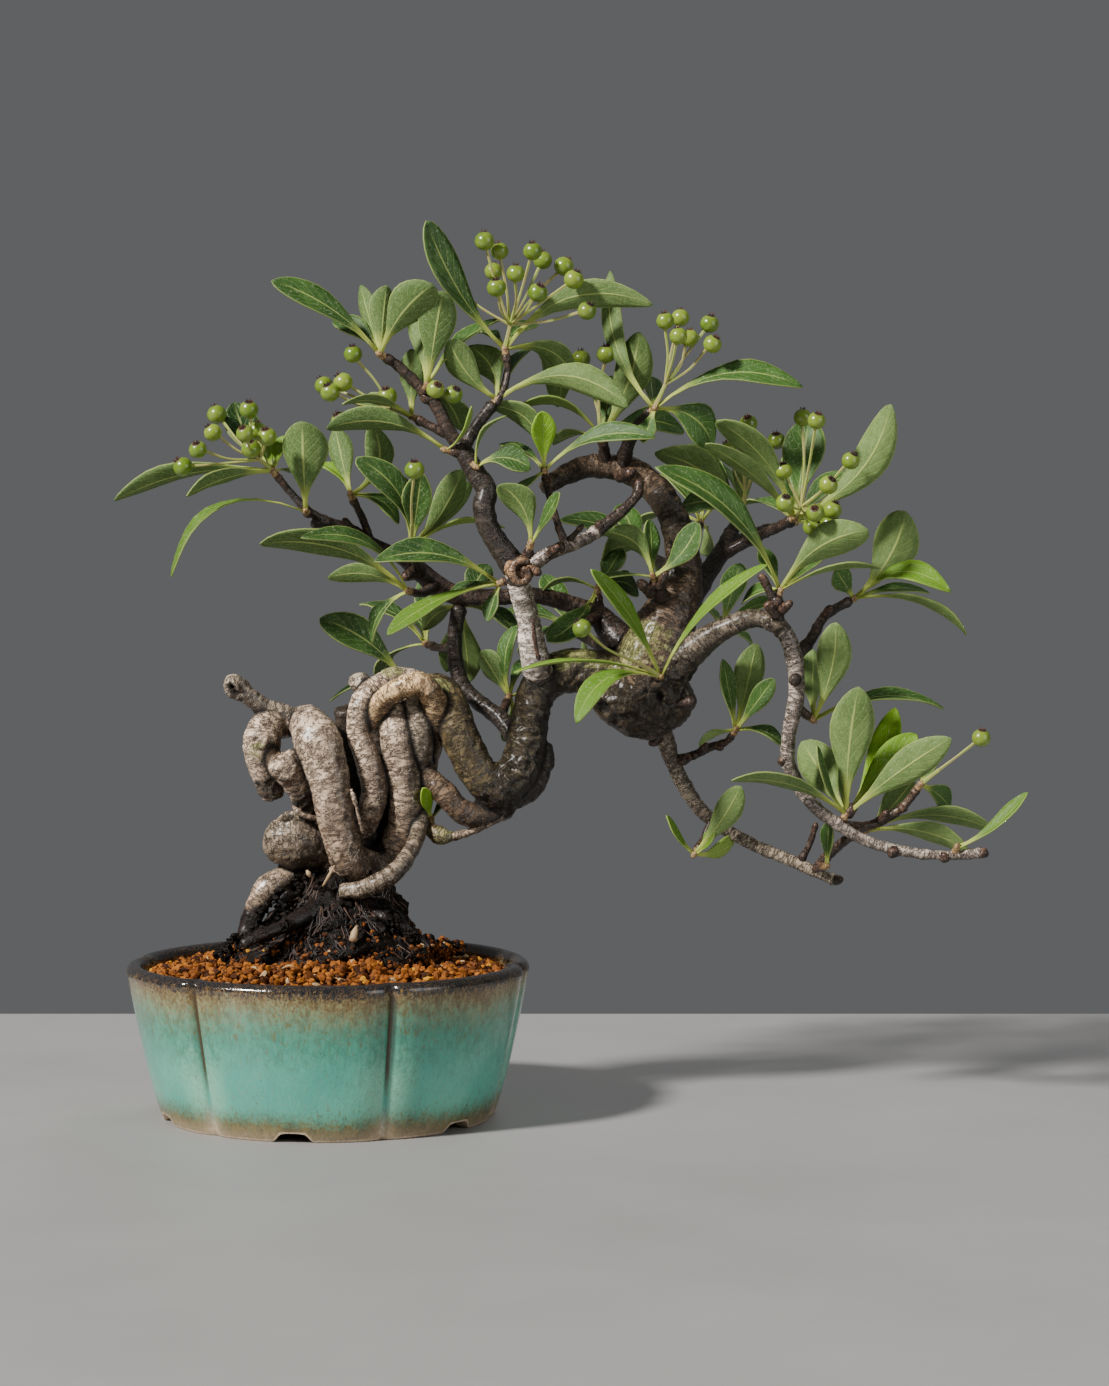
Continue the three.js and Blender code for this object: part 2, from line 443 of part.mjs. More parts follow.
// Leaves. A leaf is [across, down, back] of its tip, then its breadth, the way it faces and its arch.
// Facing is the turn in degrees of its upper side from the viewer, 0, over the top, 90, to the back, 180.
// Its arch is how far its middle bulges upwards. A shoot's leaves all start at its bud.
const SHOOTS = {
  tip_left: {
    bud: [379, 350, -19],
    leaves: [[273, 279, -24, 9.5, 35, 3], [334, 318, -6, 7, 25, 2], [362, 284, -2, 6, 150, 0],
      [387, 284, -16, 9, 165, 0],
      [434, 282, -26, 13.5, 168, 2]],
  },
  mid_left: {
    bud: [427, 383, -19],
    leaves: [[443, 289, -22, 12, 170, 0], [420, 300, -10, 9, 160, 0], [503, 317, -6, 8, 60, 3],
      [462, 428, 0, 9, 150, 2]],
  },
  fork_tip: {
    bud: [499, 395, -15],
    leaves: [[450, 338, -18, 9.5, 165, -2], [470, 345, -6, 10.5, 165, 3], [629, 404, -20, 9.5, 150, 8],
      [540, 338, 10, 8, 60, 2]],
  },
  apex: {
    bud: [506, 345, -12],
    leaves: [[429, 219, -20, 11, 30, -3], [653, 303, -18, 9.5, 150, 9], [558, 404, 14, 11, 160, 9],
      [536, 320, 2, 8, 40, 2], [577, 378, -4, 8.5, 140, 5], [470, 330, 6, 7, 60, 2]],
  },
  y_left: {
    bud: [448, 447, -17],
    leaves: [[327, 425, -16, 9.5, 140, 5], [472, 404, -26, 5, 100, -2]],
  },
  y_right: {
    bud: [476, 463, -19],
    leaves: [[531, 466, -22, 9.5, 35, 3], [505, 412, -24, 5, 95, 3]],
  },
  pale_spur: {
    bud: [411, 413, -12],
    leaves: [[343, 402, -38, 5.5, 115, 3], [412, 347, -10, 8.5, 165, 0], [356, 413, 2, 9, 150, 3]],
  },
  far_left: {
    bud: [271, 466, -10],
    leaves: [[115, 497, -12, 9, 125, 9], [187, 493, -28, 7.5, 130, 5], [236, 398, 2, 12, 25, -2],
      [303, 472, 4, 6, 100, 1], [262, 430, 6, 6, 40, 0], [286, 432, -4, 6, 40, 0]],
  },
  left_fan: { bud: [306, 507, -11], leaves: [[303, 419, -16, 15, 172, 0], [170, 571, -20, 7.5, 75, 12]] },
  left_upright: {
    bud: [350, 490, 2],
    leaves: [[374, 423, -4, 9.5, 165, -5], [320, 461, 10, 7, 60, 2], [336, 425, 12, 8, 160, 0],
      [400, 520, 4, 7, 45, 3]],
  },
  left_dark: {
    bud: [412, 541, -6],
    leaves: [[358, 455, -12, 9.5, 25, 5], [422, 470, -16, 9.5, 12, 0], [462, 466, -8, 9.5, 150, -2],
      [471, 480, 8, 8, 150, 0], [505, 523, -12, 7, 100, 4], [386, 466, 10, 8, 150, 3]],
  },
  left_low: {
    bud: [406, 587, -5],
    leaves: [[260, 541, -18, 11, 145, 6], [328, 574, -2, 6.5, 150, 3], [303, 533, -30, 6.5, 60, 7],
      [370, 640, 4, 8, 60, 3]],
  },
  left_mid: {
    bud: [498, 580, -14],
    leaves: [[375, 556, -26, 10, 40, 5], [387, 631, -28, 8, 60, 3], [440, 600, -6, 7, 60, 2],
      [487, 618, -14, 6, 40, 0]],
  },
  prop_top: {
    bud: [463, 600, 28],
    leaves: [[447, 668, 38, 8, 170, 0], [471, 678, 34, 9, 160, 0], [519, 634, 18, 7, 45, 3],
      [424, 626, 36, 7, 150, 2], [488, 560, 36, 9, 20, 0]],
  },
  low_back: {
    bud: [423, 639, 45],
    leaves: [[360, 600, 50, 9, 60, 3], [380, 680, 56, 9, 100, 4], [430, 570, 58, 9, 10, 0],
      [400, 610, 78, 9, 60, 3]],
  },
  knot_back: { bud: [404, 676, 16], leaves: [[320, 615, 12, 11.5, 25, 3], [329, 698, 18, 6, 80, 3]] },
  trunk_back: {
    bud: [511, 690, 16],
    leaves: [[482, 648, 18, 10, 140, 0], [505, 738, 24, 6.5, 150, -2], [548, 708, 26, 8, 150, 3],
      [514, 622, 12, 8, 45, 2],
      [540, 650, 34, 8, 60, 2]],
  },
  centre_small: { bud: [531, 539, -22], leaves: [[500, 481, -28, 10.5, 150, 3],
    [560, 490, -34, 6, 60, 0]] },
  arch_left: {
    bud: [544, 466, -12],
    leaves: [[543, 409, -16, 8, 15, 0], [489, 400, -10, 9.5, 140, 6], [500, 441, 0, 6, 60, 2],
      [517, 487, -20, 4.5, 60, 0],
      [655, 434, -24, 7.5, 50, 5]],
  },
  arch_mid: {
    bud: [602, 432, -2],
    leaves: [[512, 407, -8, 6.5, 110, 6], [640, 330, -8, 12, 168, -2], [553, 441, 8, 6.5, 100, 2],
      [612, 372, 8, 7, 20, 0], [684, 428, 20, 10, 25, 4]],
  },
  upper_mid: {
    bud: [656, 403, -15],
    leaves: [[802, 383, -20, 9.5, 50, 7], [714, 444, -8, 12.5, 15, 4], [611, 270, 2, 7.5, 150, -5],
      [650, 375, 10, 7, 20, 0],
      [643, 440, -18, 6, 20, 0]],
  },
  burl_crown: {
    bud: [652, 572, -15],
    leaves: [[603, 527, -14, 9, 140, 4], [698, 520, -18, 9.5, 30, -2], [596, 576, -16, 5, 80, 1],
      [650, 516, -4, 6, 30, 0]],
  },
  behind_arch: {
    bud: [641, 547, 36],
    leaves: [[560, 516, 44, 9.5, 50, 3], [600, 556, 20, 12, 150, 3], [620, 500, 62, 9, 30, 0],
      [600, 530, 72, 9, 60, 2],
      [660, 590, 62, 9, 80, 2]],
  },
  branch_top: {
    bud: [598, 586, 14],
    leaves: [[541, 588, 14, 6.5, 100, 3], [622, 545, 22, 8, 30, 0], [640, 590, 28, 8, 20, 3],
      [548, 638, -6, 9, 15, -2]],
  },
  burl_front: {
    bud: [660, 673, -16],
    leaves: [[592, 566, -34, 7, 50, 2], [767, 561, -36, 6.5, 60, 4], [514, 669, -32, 5.5, 95, 4],
      [576, 719, -34, 8.5, 45, 7]],
  },
  right_tuft: {
    bud: [780, 586, -17],
    leaves: [[657, 463, -30, 12.5, 45, 6], [868, 527, -24, 12, 142, 4], [881, 566, -14, 6.5, 110, 3],
      [762, 545, -4, 6, 30, 0],
      [742, 600, -2, 7, 60, 2], [826, 546, 0, 7, 50, 0]],
  },
  upper_right_back: {
    bud: [742, 512, 27],
    leaves: [[655, 449, 14, 13, 150, 4], [690, 440, 36, 10, 30, 0], [747, 446, 22, 8, 155, 0],
      [680, 504, 40, 9, 25, 3],
      [720, 460, 56, 9, 60, 2]],
  },
  upper_right: {
    bud: [796, 512, -4],
    leaves: [[891, 402, -14, 12, 150, -6], [808, 418, 10, 14, 15, 0], [716, 418, -18, 10.5, 150, 4],
      [705, 440, -32, 7.5, 130, 2],
      [850, 540, 10, 8, 60, 3]],
  },
  right_deep: {
    bud: [797, 519, 54],
    leaves: [[850, 470, 56, 9, 40, 2], [790, 450, 66, 9, 20, 0], [740, 500, 74, 9, 60, 3],
      [850, 540, 74, 9, 80, 3],
      [800, 520, 96, 9, 90, 3]],
  },
  back_top: {
    bud: [702, 516, 55],
    leaves: [[660, 470, 62, 9, 60, 2], [710, 440, 66, 9, 20, 0], [640, 520, 76, 9, 80, 3],
      [745, 490, 82, 9, 80, 2],
      [700, 550, 90, 9, 100, 3]],
  },
  back_right: {
    bud: [725, 623, 58],
    leaves: [[790, 600, 62, 9, 60, 3], [740, 560, 66, 9, 20, 0], [690, 600, 82, 9, 80, 2],
      [760, 660, 74, 9, 80, 3],
      [730, 630, 96, 9, 90, 3]],
  },
  back_left: {
    bud: [571, 627, 56],
    leaves: [[500, 610, 60, 9, 60, 3], [545, 570, 70, 9, 20, 0], [520, 650, 80, 9, 80, 3],
      [600, 600, 86, 9, 60, 2],
      [580, 660, 84, 8, 100, 3]],
  },
  right_back: {
    bud: [854, 595, 8],
    leaves: [[951, 588, -4, 9.5, 55, 7], [967, 632, 4, 9, 110, 5], [905, 508, 2, 15, 152, -3],
      [835, 566, 2, 8, 15, 0],
      [930, 588, 18, 6, 60, 2]],
  },
  spur_right: {
    bud: [814, 718, -12],
    leaves: [[836, 619, -16, 11, 168, -2], [812, 648, 2, 8, 160, 0], [945, 703, 4, 7.5, 55, 5]],
  },
  twig_left: {
    bud: [736, 727, 2],
    leaves: [[723, 656, -4, 5.5, 30, 0], [757, 640, 4, 10, 160, 0], [774, 676, -4, 6.5, 25, 0],
      [784, 741, 4, 6, 60, 2],
      [699, 742, -2, 5, 120, 1]],
  },
  end_tuft: {
    bud: [848, 810, -12],
    leaves: [[859, 683, -18, 14, 172, 1], [952, 735, -26, 11, 155, 1], [917, 731, -2, 9.5, 30, 1],
      [896, 704, 10, 9, 20, -2],
      [804, 739, 0, 13, 165, 0], [732, 777, -26, 8, 130, 4], [818, 743, -20, 5, 60, -2],
      [836, 740, 16, 8, 30, 0]],
  },
  end_low: {
    bud: [869, 829, -4],
    leaves: [[995, 828, 4, 7.5, 130, 5], [970, 847, -6, 8, 150, 3], [914, 773, 6, 10, 160, -1]],
  },
  end_spur: { bud: [922, 782, -6], leaves: [[952, 806, 8, 8, 30, 1], [936, 752, 0, 5, 30, 0]] },
  end_tip: { bud: [958, 843, -17], leaves: [[1028, 789, -20, 5.5, 60, -2]] },
  low_end: { bud: [828, 863, -4], leaves: [[830, 819, -7, 5, 40, 0]] },
  hanging: {
    bud: [694, 857, 3],
    leaves: [[742, 783, -2, 8.5, 165, -1], [667, 813, 0, 4, 60, -1], [713, 826, 2, 5, 60, -1],
      [737, 834, 12, 7.5, 150, -2]],
  },
  knot_right: { bud: [431, 816, 2], leaves: [[424, 786, -6, 5, 25, 0], [446, 795, 6, 3.5, 60, 0]] },
};

// Berries. Each bunch stands on a shoot's bud; its berries are [across, down, back].
const BUNCHES = {
  apex: [[485, 240, -20], [500, 250, -14], [533, 250, -18], [543, 259, -8], [494, 270, -8], [516, 272, -22],
    [564, 265, -12], [574, 278, -20], [538, 291, -26], [587, 309, -24], [452, 282, -12]],
  pale_spur: [[388, 394, -18], [344, 380, -14], [325, 383, -6], [331, 390, -16], [341, 418, -12],
    [354, 352, -16]],
  mid_left: [[436, 387, -27], [454, 392, -24]],
  far_left: [[184, 464, -16], [199, 447, -20], [214, 430, -14], [218, 412, -6], [250, 407, -16],
    [246, 431, -24], [268, 434, -20]],
  left_dark: [[415, 467, -24]],
  arch_mid: [[581, 357, 4], [606, 352, -4]],
  upper_mid: [[665, 319, -18], [680, 316, -10], [678, 334, -22], [689, 336, -14], [709, 322, -12],
    [712, 342, -20]],
  upper_right_back: [[748, 421, -2], [776, 438, 10], [728, 447, 22]],
  upper_right: [[802, 415, -8], [816, 418, -16], [850, 458, -16], [828, 482, -18], [815, 510, -24],
    [832, 507, -16], [785, 500, -26]],
  right_back: [[889, 565, 14]],
  end_spur: [[982, 735, -8]],
  burl_front: [[582, 625, -34]],
};

// A shoot stands on the end of the twig that ends nearest to the place given for it.
function seatOf(nearTo) {
  const wanted = place(nearTo);
  const paths = LIMB_KINDS.flatMap(({ limbs: list }) => list.map(pathOf));
  const miss = (path) => path.getPoint(1).distanceTo(wanted);
  const path = paths.reduce((best, other) => (miss(other) < miss(best) ? other : best));
  const outwards = path.getTangent(1);
  const foot = path.getPoint(1).addScaledVector(outwards, SEAT_GAP);
  return { foot, outwards, bud: foot.clone().addScaledVector(outwards, STEM_LENGTH) };
}

// A ring of four corners square to its tangent: two at the edges, raised by the fold, and one on each face.
function cornerRing(centre, tangent, upperSide, half, thick, fold) {
  const normal = upperSide.clone().addScaledVector(tangent, -upperSide.dot(tangent)).normalize();
  const side = tangent.clone().cross(normal);
  const ridge = centre.clone().addScaledVector(normal, fold * half);
  const edge = (sign) => ridge.clone().addScaledVector(side, sign * half);
  const face = (sign) => centre.clone().addScaledVector(normal, sign * thick);
  return [edge(1), face(1), edge(-1), face(-1)];
}

// A four-sided cone whose rings are laid on the given ones, and whose point is on the tip.
function ribbon(rings, tip) {
  const steps = rings.length;
  const cone = new THREE.ConeGeometry(1, 1, 4, steps);
  const position = cone.attributes.position;
  for (let i = 0; i < position.count; i++) {
    const step = Math.round((position.getY(i) + 0.5) * steps);
    const [x, z] = [position.getX(i), position.getZ(i)];
    let point = tip;
    if (step < steps) {
      const [right, upper, left, lower] = rings[step];
      if (Math.hypot(x, z) < 1e-6) point = upper.clone().lerp(lower, 0.5);
      else if (Math.abs(x) > Math.abs(z)) point = x > 0 ? right : left;
      else point = z > 0 ? upper : lower;
    }
    position.setXYZ(i, point.x, point.y, point.z);
  }
  return solidOf(cone);
}

const PETIOLE_END = 0.2;
const LEAF_WIDEST = 0.68;
const LEAF_FOLD = 0.22;

// A leaf: a petiole that spreads into a folded, arched blade. The leaf that carries the shoot on also has
// the shoot's stem, from its foot on the twig to the bud.
function leaf(seat, [tipAcross, tipDown, tipBack, breadth, facing, arch], carriesStem, swell = 0) {
  const tip = place([tipAcross, tipDown, tipBack]);
  const axis = tip.clone().sub(seat.bud).normalize();
  const root = seat.bud.clone().addScaledVector(axis, LEAF_ROOT);
  const length = tip.distanceTo(root);
  const toViewer = new THREE.Vector3(0, -1, 0);
  toViewer.addScaledVector(axis, -toViewer.dot(axis)).normalize();
  const upwards = axis.clone().cross(toViewer);
  if (upwards.z < 0) upwards.negate();
  const turn = THREE.MathUtils.degToRad(facing);
  const upperSide = toViewer.multiplyScalar(Math.cos(turn)).addScaledVector(upwards, Math.sin(turn));
  const ringAt = (along, half, thick, fold) => {
    const centre = root.clone().addScaledVector(axis, along * length);
    centre.addScaledVector(upwards, arch * 4 * along * (1 - along));
    const tangent = axis.clone().multiplyScalar(length).addScaledVector(upwards, arch * 4 * (1 - 2 * along));
    return cornerRing(centre, tangent.normalize(), upperSide, half + swell, thick + swell, fold);
  };
  const rings = [
    ringAt(PETIOLE_END, PETIOLE_RADIUS, PETIOLE_RADIUS, 0),
    ringAt(LEAF_WIDEST, breadth / 2, LEAF_THICKNESS / 2, LEAF_FOLD),
  ];
  if (carriesStem) {
    const radius = STEM_RADIUS + swell;
    const foot = seat.foot.clone().addScaledVector(seat.outwards, -swell);
    const bend = seat.outwards.clone().add(axis).normalize();
    rings.unshift(cornerRing(seat.bud, bend, upperSide, radius, radius, 0));
    rings.unshift(cornerRing(foot, seat.outwards, upperSide, radius, radius, 0));
  } else {
    rings.unshift(ringAt(0, PETIOLE_RADIUS, PETIOLE_RADIUS, 0));
  }
  return ribbon(rings, tip.addScaledVector(axis, swell));
}

// A shoot: its leaves part at the bud, and the one that points most nearly as the twig does carries it on.
function shoot({ bud: nearTo, leaves }, swell = 0) {
  const seat = seatOf(nearTo);
  const lean = (row) => place(row).sub(seat.bud).normalize().dot(seat.outwards);
  const leader = leaves.reduce((best, row) => (lean(row) > lean(best) ? row : best));
  return leaves.map((row) => leaf(seat, row, row === leader, swell));
}

function berry(centre, swell) {
  return solidOf(new THREE.IcosahedronGeometry(BERRY_RADIUS + swell).translate(centre.x, centre.y, centre.z));
}

// The small knot that stalks spring from. One of its eight faces looks back at what it sits on.
function knuckle(centre, outwards, radius) {
  const octahedron = new THREE.OctahedronGeometry(radius);
  const corner = new THREE.Vector3(1, 1, 1).normalize();
  octahedron.applyQuaternion(new THREE.Quaternion().setFromUnitVectors(corner, outwards));
  return solidOf(octahedron.translate(centre.x, centre.y, centre.z));
}

// A straight stalk of three sides from one point to another.
function stalk(from, to, radius) {
  const along = to.clone().sub(from).normalize();
  const rod = new THREE.CylinderGeometry(radius, radius, from.distanceTo(to), 3);
  rod.applyQuaternion(new THREE.Quaternion().setFromUnitVectors(new THREE.Vector3(0, 1, 0), along));
  const middle = from.clone().add(to).multiplyScalar(0.5);
  return solidOf(rod.translate(middle.x, middle.y, middle.z));
}

// A bunch: the stalks part from a knuckle that sits on the bud, and each carries a berry.
function bunch({ bud }, berries, swell = 0) {
  const centres = berries.map(place);
  const middle = new THREE.Box3().setFromPoints(centres).getCenter(new THREE.Vector3());
  const rise = middle.sub(bud).normalize();
  const root = bud.clone().addScaledVector(rise, STEM_RADIUS + CLEARANCE);
  const parts = [knuckle(root, rise, KNUCKLE_RADIUS + swell)];
  for (const centre of centres) {
    const along = centre.clone().sub(root).normalize();
    const foot = root.clone().addScaledVector(along, STALK_ROOT);
    const top = centre.clone().addScaledVector(along, -BERRY_RADIUS / 2);
    parts.push(stalk(foot, top, STALK_RADIUS + swell), berry(centre, swell));
  }
  return parts;
}

// Build in the order that things lie: what comes later keeps clear of what is there.
function everyLimb(swell) {
  return LIMB_KINDS.flatMap(({ limbs, sides }) => limbs.map((stations) => limb(stations, sides, swell)));
}

const aroundLimbs = everyLimb(CLEARANCE);
addPiece("pot", pot(), GLAZE);
addPiece("drain_screen", drainScreen(), SCREEN);
addPiece("wood", largestBody(joined(everyLimb(0))), BARK);
addPiece("root_mass", clearOf(rootMass(), aroundLimbs), ROOT_MASS);
addPiece("soil", clearOf(soil(), [rootMass(CLEARANCE), screenPlate(CLEARANCE), ...aroundLimbs]), GRANULES);

const taken = [...aroundLimbs];
for (const [name, growth] of Object.entries(SHOOTS)) {
  addPiece(`leaves_${name}`, clearOf(joined(shoot(growth)), taken), LEAF);
  taken.push(...shoot(growth, CLEARANCE));
}
for (const [name, berries] of Object.entries(BUNCHES)) {
  const seat = seatOf(SHOOTS[name].bud);
  addPiece(`berries_${name}`, clearOf(joined(bunch(seat, berries)), taken), BERRY);
  taken.push(...bunch(seat, berries, CLEARANCE));
}

// The origin is the middle of the bottom of the whole object's box.
const box = new THREE.Box3().setFromObject(bonsai);
const middle = box.getCenter(new THREE.Vector3());
bonsai.position.set(-middle.x, -middle.y, -box.min.z);

export default bonsai;
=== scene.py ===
# Pyracantha bonsai: a knotted, leaning little tree with narrow leaves and green berries, grown in a round
# glazed pot of six lobes that is filled with granular soil. The tree's front faces -Y.
import math
import random
import bmesh
import bpy
from mathutils import Color, Matrix, Vector, geometry, kdtree, noise


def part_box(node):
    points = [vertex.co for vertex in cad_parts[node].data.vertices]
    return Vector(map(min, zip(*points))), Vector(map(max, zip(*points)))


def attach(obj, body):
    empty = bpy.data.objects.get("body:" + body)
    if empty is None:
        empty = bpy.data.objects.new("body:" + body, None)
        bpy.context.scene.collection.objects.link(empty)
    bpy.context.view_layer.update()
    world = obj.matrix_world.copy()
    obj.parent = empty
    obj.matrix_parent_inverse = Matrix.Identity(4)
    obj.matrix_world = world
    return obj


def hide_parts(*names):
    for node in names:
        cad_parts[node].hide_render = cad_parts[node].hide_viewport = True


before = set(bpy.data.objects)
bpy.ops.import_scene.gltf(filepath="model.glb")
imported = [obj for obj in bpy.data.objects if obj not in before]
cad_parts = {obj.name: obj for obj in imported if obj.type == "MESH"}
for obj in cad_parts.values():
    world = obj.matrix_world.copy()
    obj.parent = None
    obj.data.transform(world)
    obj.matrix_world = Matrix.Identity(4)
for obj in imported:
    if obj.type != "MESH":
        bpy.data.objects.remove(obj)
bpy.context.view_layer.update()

# The pot. One piece of stoneware, thrown and then pressed into six lobes, with a rolled lip, a drain hole
# and a foot ring cut into six feet. Its glaze ran down while it melted: near black where it lies thick on
# the lip, ochre in a streaked band below and in the grooves, turquoise on the wall.
MM = 0.001
pot_low, pot_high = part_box("pot")
POT_AXIS = Vector(((pot_low.x + pot_high.x) / 2, (pot_low.y + pot_high.y) / 2, 0))
POT_RIM_RADIUS = 60.5
POT_FOOT_RADIUS = 50
POT_HEIGHT = 46.5
POT_FLOOR_TOP = 8
DRAIN_RADIUS = 6
FOOT_HOLLOW = 3.8
LOBES = 6
LOBE_CENTRE = math.radians(-98)
LOBE_STEPS = 40
LIP_RADIUS = 2.5
# The wall's outside, from the foot up: how far it stands out past the foot, and the height.
WALL_OUTSIDE = [
    (-0.5, 0), (0, 0.5), (0.6, 2), (1.6, 5), (2.9, 9.5), (4.1, 14), (5.3, 19), (6.4, 24), (7.5, 29),
    (8.5, 34), (9.4, 38.5), (9.9, 41.4), (10.2, 42.8),
]
# Its inside, the floor, the drain hole and the foot ring: radius and height.
WALL_INSIDE = [
    (POT_RIM_RADIUS - 5.2, 42), (POT_RIM_RADIUS - 7.6, 32), (49.5, 18), (47.5, 11), (46.2, 8.8),
    (44, POT_FLOOR_TOP), (DRAIN_RADIUS + 1, POT_FLOOR_TOP), (DRAIN_RADIUS, POT_FLOOR_TOP - 1),
    (DRAIN_RADIUS, FOOT_HOLLOW), (43.5, FOOT_HOLLOW), (44.8, 2.4), (45.5, 0.4), (46, 0),
]
NOTCH_HALF_WIDTH = 6.2
NOTCH_HALF_TOP = 3.3
NOTCH_HEIGHT = 2.8
NOTCH_STEPS = 8
NOTCH_CUT_FROM = -40
NOTCH_CUT_DEPTH = 16
EDGE_WEAR = 0.35


def mesh_of(name, bm):
    """A mesh of what a bmesh holds. The bmesh is freed."""
    mesh = bpy.data.meshes.new(name)
    bm.to_mesh(mesh)
    bm.free()
    return mesh


def add_object(name, data):
    """Adds an object of a mesh, a light or a camera to the scene."""
    made = bpy.data.objects.new(name, data)
    bpy.context.scene.collection.objects.link(made)
    return made


def make_piece(name, bm, material, stands_for=(), sharp=None):
    """Turns a bmesh in millimetres round the pot's axis into a finished piece of the object, in the place of
    the CAD nodes that it stands for. Edges past the sharp angle stay sharp."""
    bmesh.ops.transform(bm, matrix=Matrix.Translation(POT_AXIS) @ Matrix.Scale(MM, 4), verts=bm.verts)
    mesh = mesh_of(name, bm)
    mesh.shade_smooth()
    if sharp:
        mesh.set_sharp_from_angle(angle=math.radians(sharp))
    mesh.materials.append(material)
    piece = add_object(name, mesh)
    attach(piece, "root")
    if stands_for:
        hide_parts(*stands_for)
    return piece


def modify(piece, kind, **settings):
    """Puts a piece's mesh through a modifier."""
    modifier = piece.modifiers.new(kind, kind)
    for name, value in settings.items():
        setattr(modifier, name, value)
    shown = piece.evaluated_get(bpy.context.evaluated_depsgraph_get())
    mesh = bpy.data.meshes.new_from_object(shown)
    piece.modifiers.clear()
    piece.data = mesh


def ease(value, low, high):
    """0 below low, 1 above high, and a smooth rise between them."""
    share = min(1.0, max(0.0, (value - low) / (high - low)))
    return share * share * (3 - 2 * share)


def lobe_share(angle):
    """Where an angle lies in its lobe: 0 in the middle, 1 or -1 in the grooves beside it."""
    turn = (angle - LOBE_CENTRE) * LOBES / math.tau
    return 2 * (turn - round(turn))


def pinch(share, height):
    """The part of the full radius that the wall keeps: it rounds off to each groove and dips into it."""
    shoulder = max(0.0, (abs(share) - 0.66) / 0.34) ** 2.2
    channel = ease(abs(share), 0.93, 0.995) * (0.4 + 0.6 * ease(height, 2, 30))
    return 1 - 0.026 * shoulder - 0.022 * channel


def press_lobes(bm):
    """Presses a lathed form into the pot's lobes, with its sections crowded towards the grooves."""
    for vert in bm.verts:
        radius = math.hypot(vert.co.x, vert.co.y)
        if radius < DRAIN_RADIUS * 1.5:
            continue
        angle = math.atan2(vert.co.y, vert.co.x)
        share = lobe_share(angle)
        crowded = math.copysign(abs(share) ** 0.72, share)
        angle += (crowded - share) * math.pi / LOBES
        radius *= pinch(crowded, vert.co.z)
        vert.co.x = radius * math.cos(angle)
        vert.co.y = radius * math.sin(angle)


def lathe(bm, outline, steps, closed):
    """Spins an outline of (radius, height) points round the upright axis, from a groove and back to it."""
    start = LOBE_CENTRE + math.pi / LOBES
    verts = [bm.verts.new((r * math.cos(start), r * math.sin(start), z)) for r, z in outline]
    pairs = list(zip(verts, verts[1:])) + ([(verts[-1], verts[0])] if closed else [])
    edges = [bm.edges.new(pair) for pair in pairs]
    bmesh.ops.spin(bm, geom=verts + edges, axis=(0, 0, 1), angle=math.tau, steps=steps, use_merge=True)
    bmesh.ops.remove_doubles(bm, verts=bm.verts, dist=1e-4)
    bmesh.ops.recalc_face_normals(bm, faces=bm.faces)


def lip_point(turn):
    """A point of the rolled lip, at a turn in degrees from its outer side over its top."""
    return (
        POT_RIM_RADIUS - LIP_RADIUS * (1 - math.cos(math.radians(turn))),
        POT_HEIGHT - LIP_RADIUS * (1 - math.sin(math.radians(turn))),
    )


pot_bm = bmesh.new()
lathe(pot_bm, [
    *[(POT_FOOT_RADIUS + out, height) for out, height in WALL_OUTSIDE],
    *[lip_point(turn) for turn in range(0, 181, 20)],
    *WALL_INSIDE,
], LOBES * LOBE_STEPS, closed=True)
press_lobes(pot_bm)

# The notches between the feet: flat on top, with shoulders that slope in an S at each side.
notch_bm = bmesh.new()
outline = [(NOTCH_HALF_WIDTH, -1)]
for i in range(NOTCH_STEPS + 1):
    outline.append((
        NOTCH_HALF_WIDTH + (NOTCH_HALF_TOP - NOTCH_HALF_WIDTH) * i / NOTCH_STEPS,
        NOTCH_HEIGHT * (0.05 + 0.85 * ease(i, 0, NOTCH_STEPS)),
    ))
outline.append((NOTCH_HALF_TOP * 0.55, NOTCH_HEIGHT))
outline += [(-x, z) for x, z in reversed(outline)]
face = notch_bm.faces.new([notch_bm.verts.new((x, NOTCH_CUT_FROM, z)) for x, z in outline])
pushed = bmesh.ops.extrude_face_region(notch_bm, geom=[face])["geom"]
bmesh.ops.translate(notch_bm, vec=(0, -NOTCH_CUT_DEPTH, 0),
                    verts=[part for part in pushed if isinstance(part, bmesh.types.BMVert)])
bmesh.ops.rotate(notch_bm, cent=(0, 0, 0), matrix=Matrix.Rotation(LOBE_CENTRE + math.pi / 2, 3, "Z"),
                 verts=notch_bm.verts)
bmesh.ops.spin(notch_bm, geom=notch_bm.verts[:] + notch_bm.edges[:] + notch_bm.faces[:], axis=(0, 0, 1),
               angle=math.tau, steps=LOBES, use_duplicate=True)
bmesh.ops.remove_doubles(notch_bm, verts=notch_bm.verts, dist=1e-3)
bmesh.ops.recalc_face_normals(notch_bm, faces=notch_bm.faces)


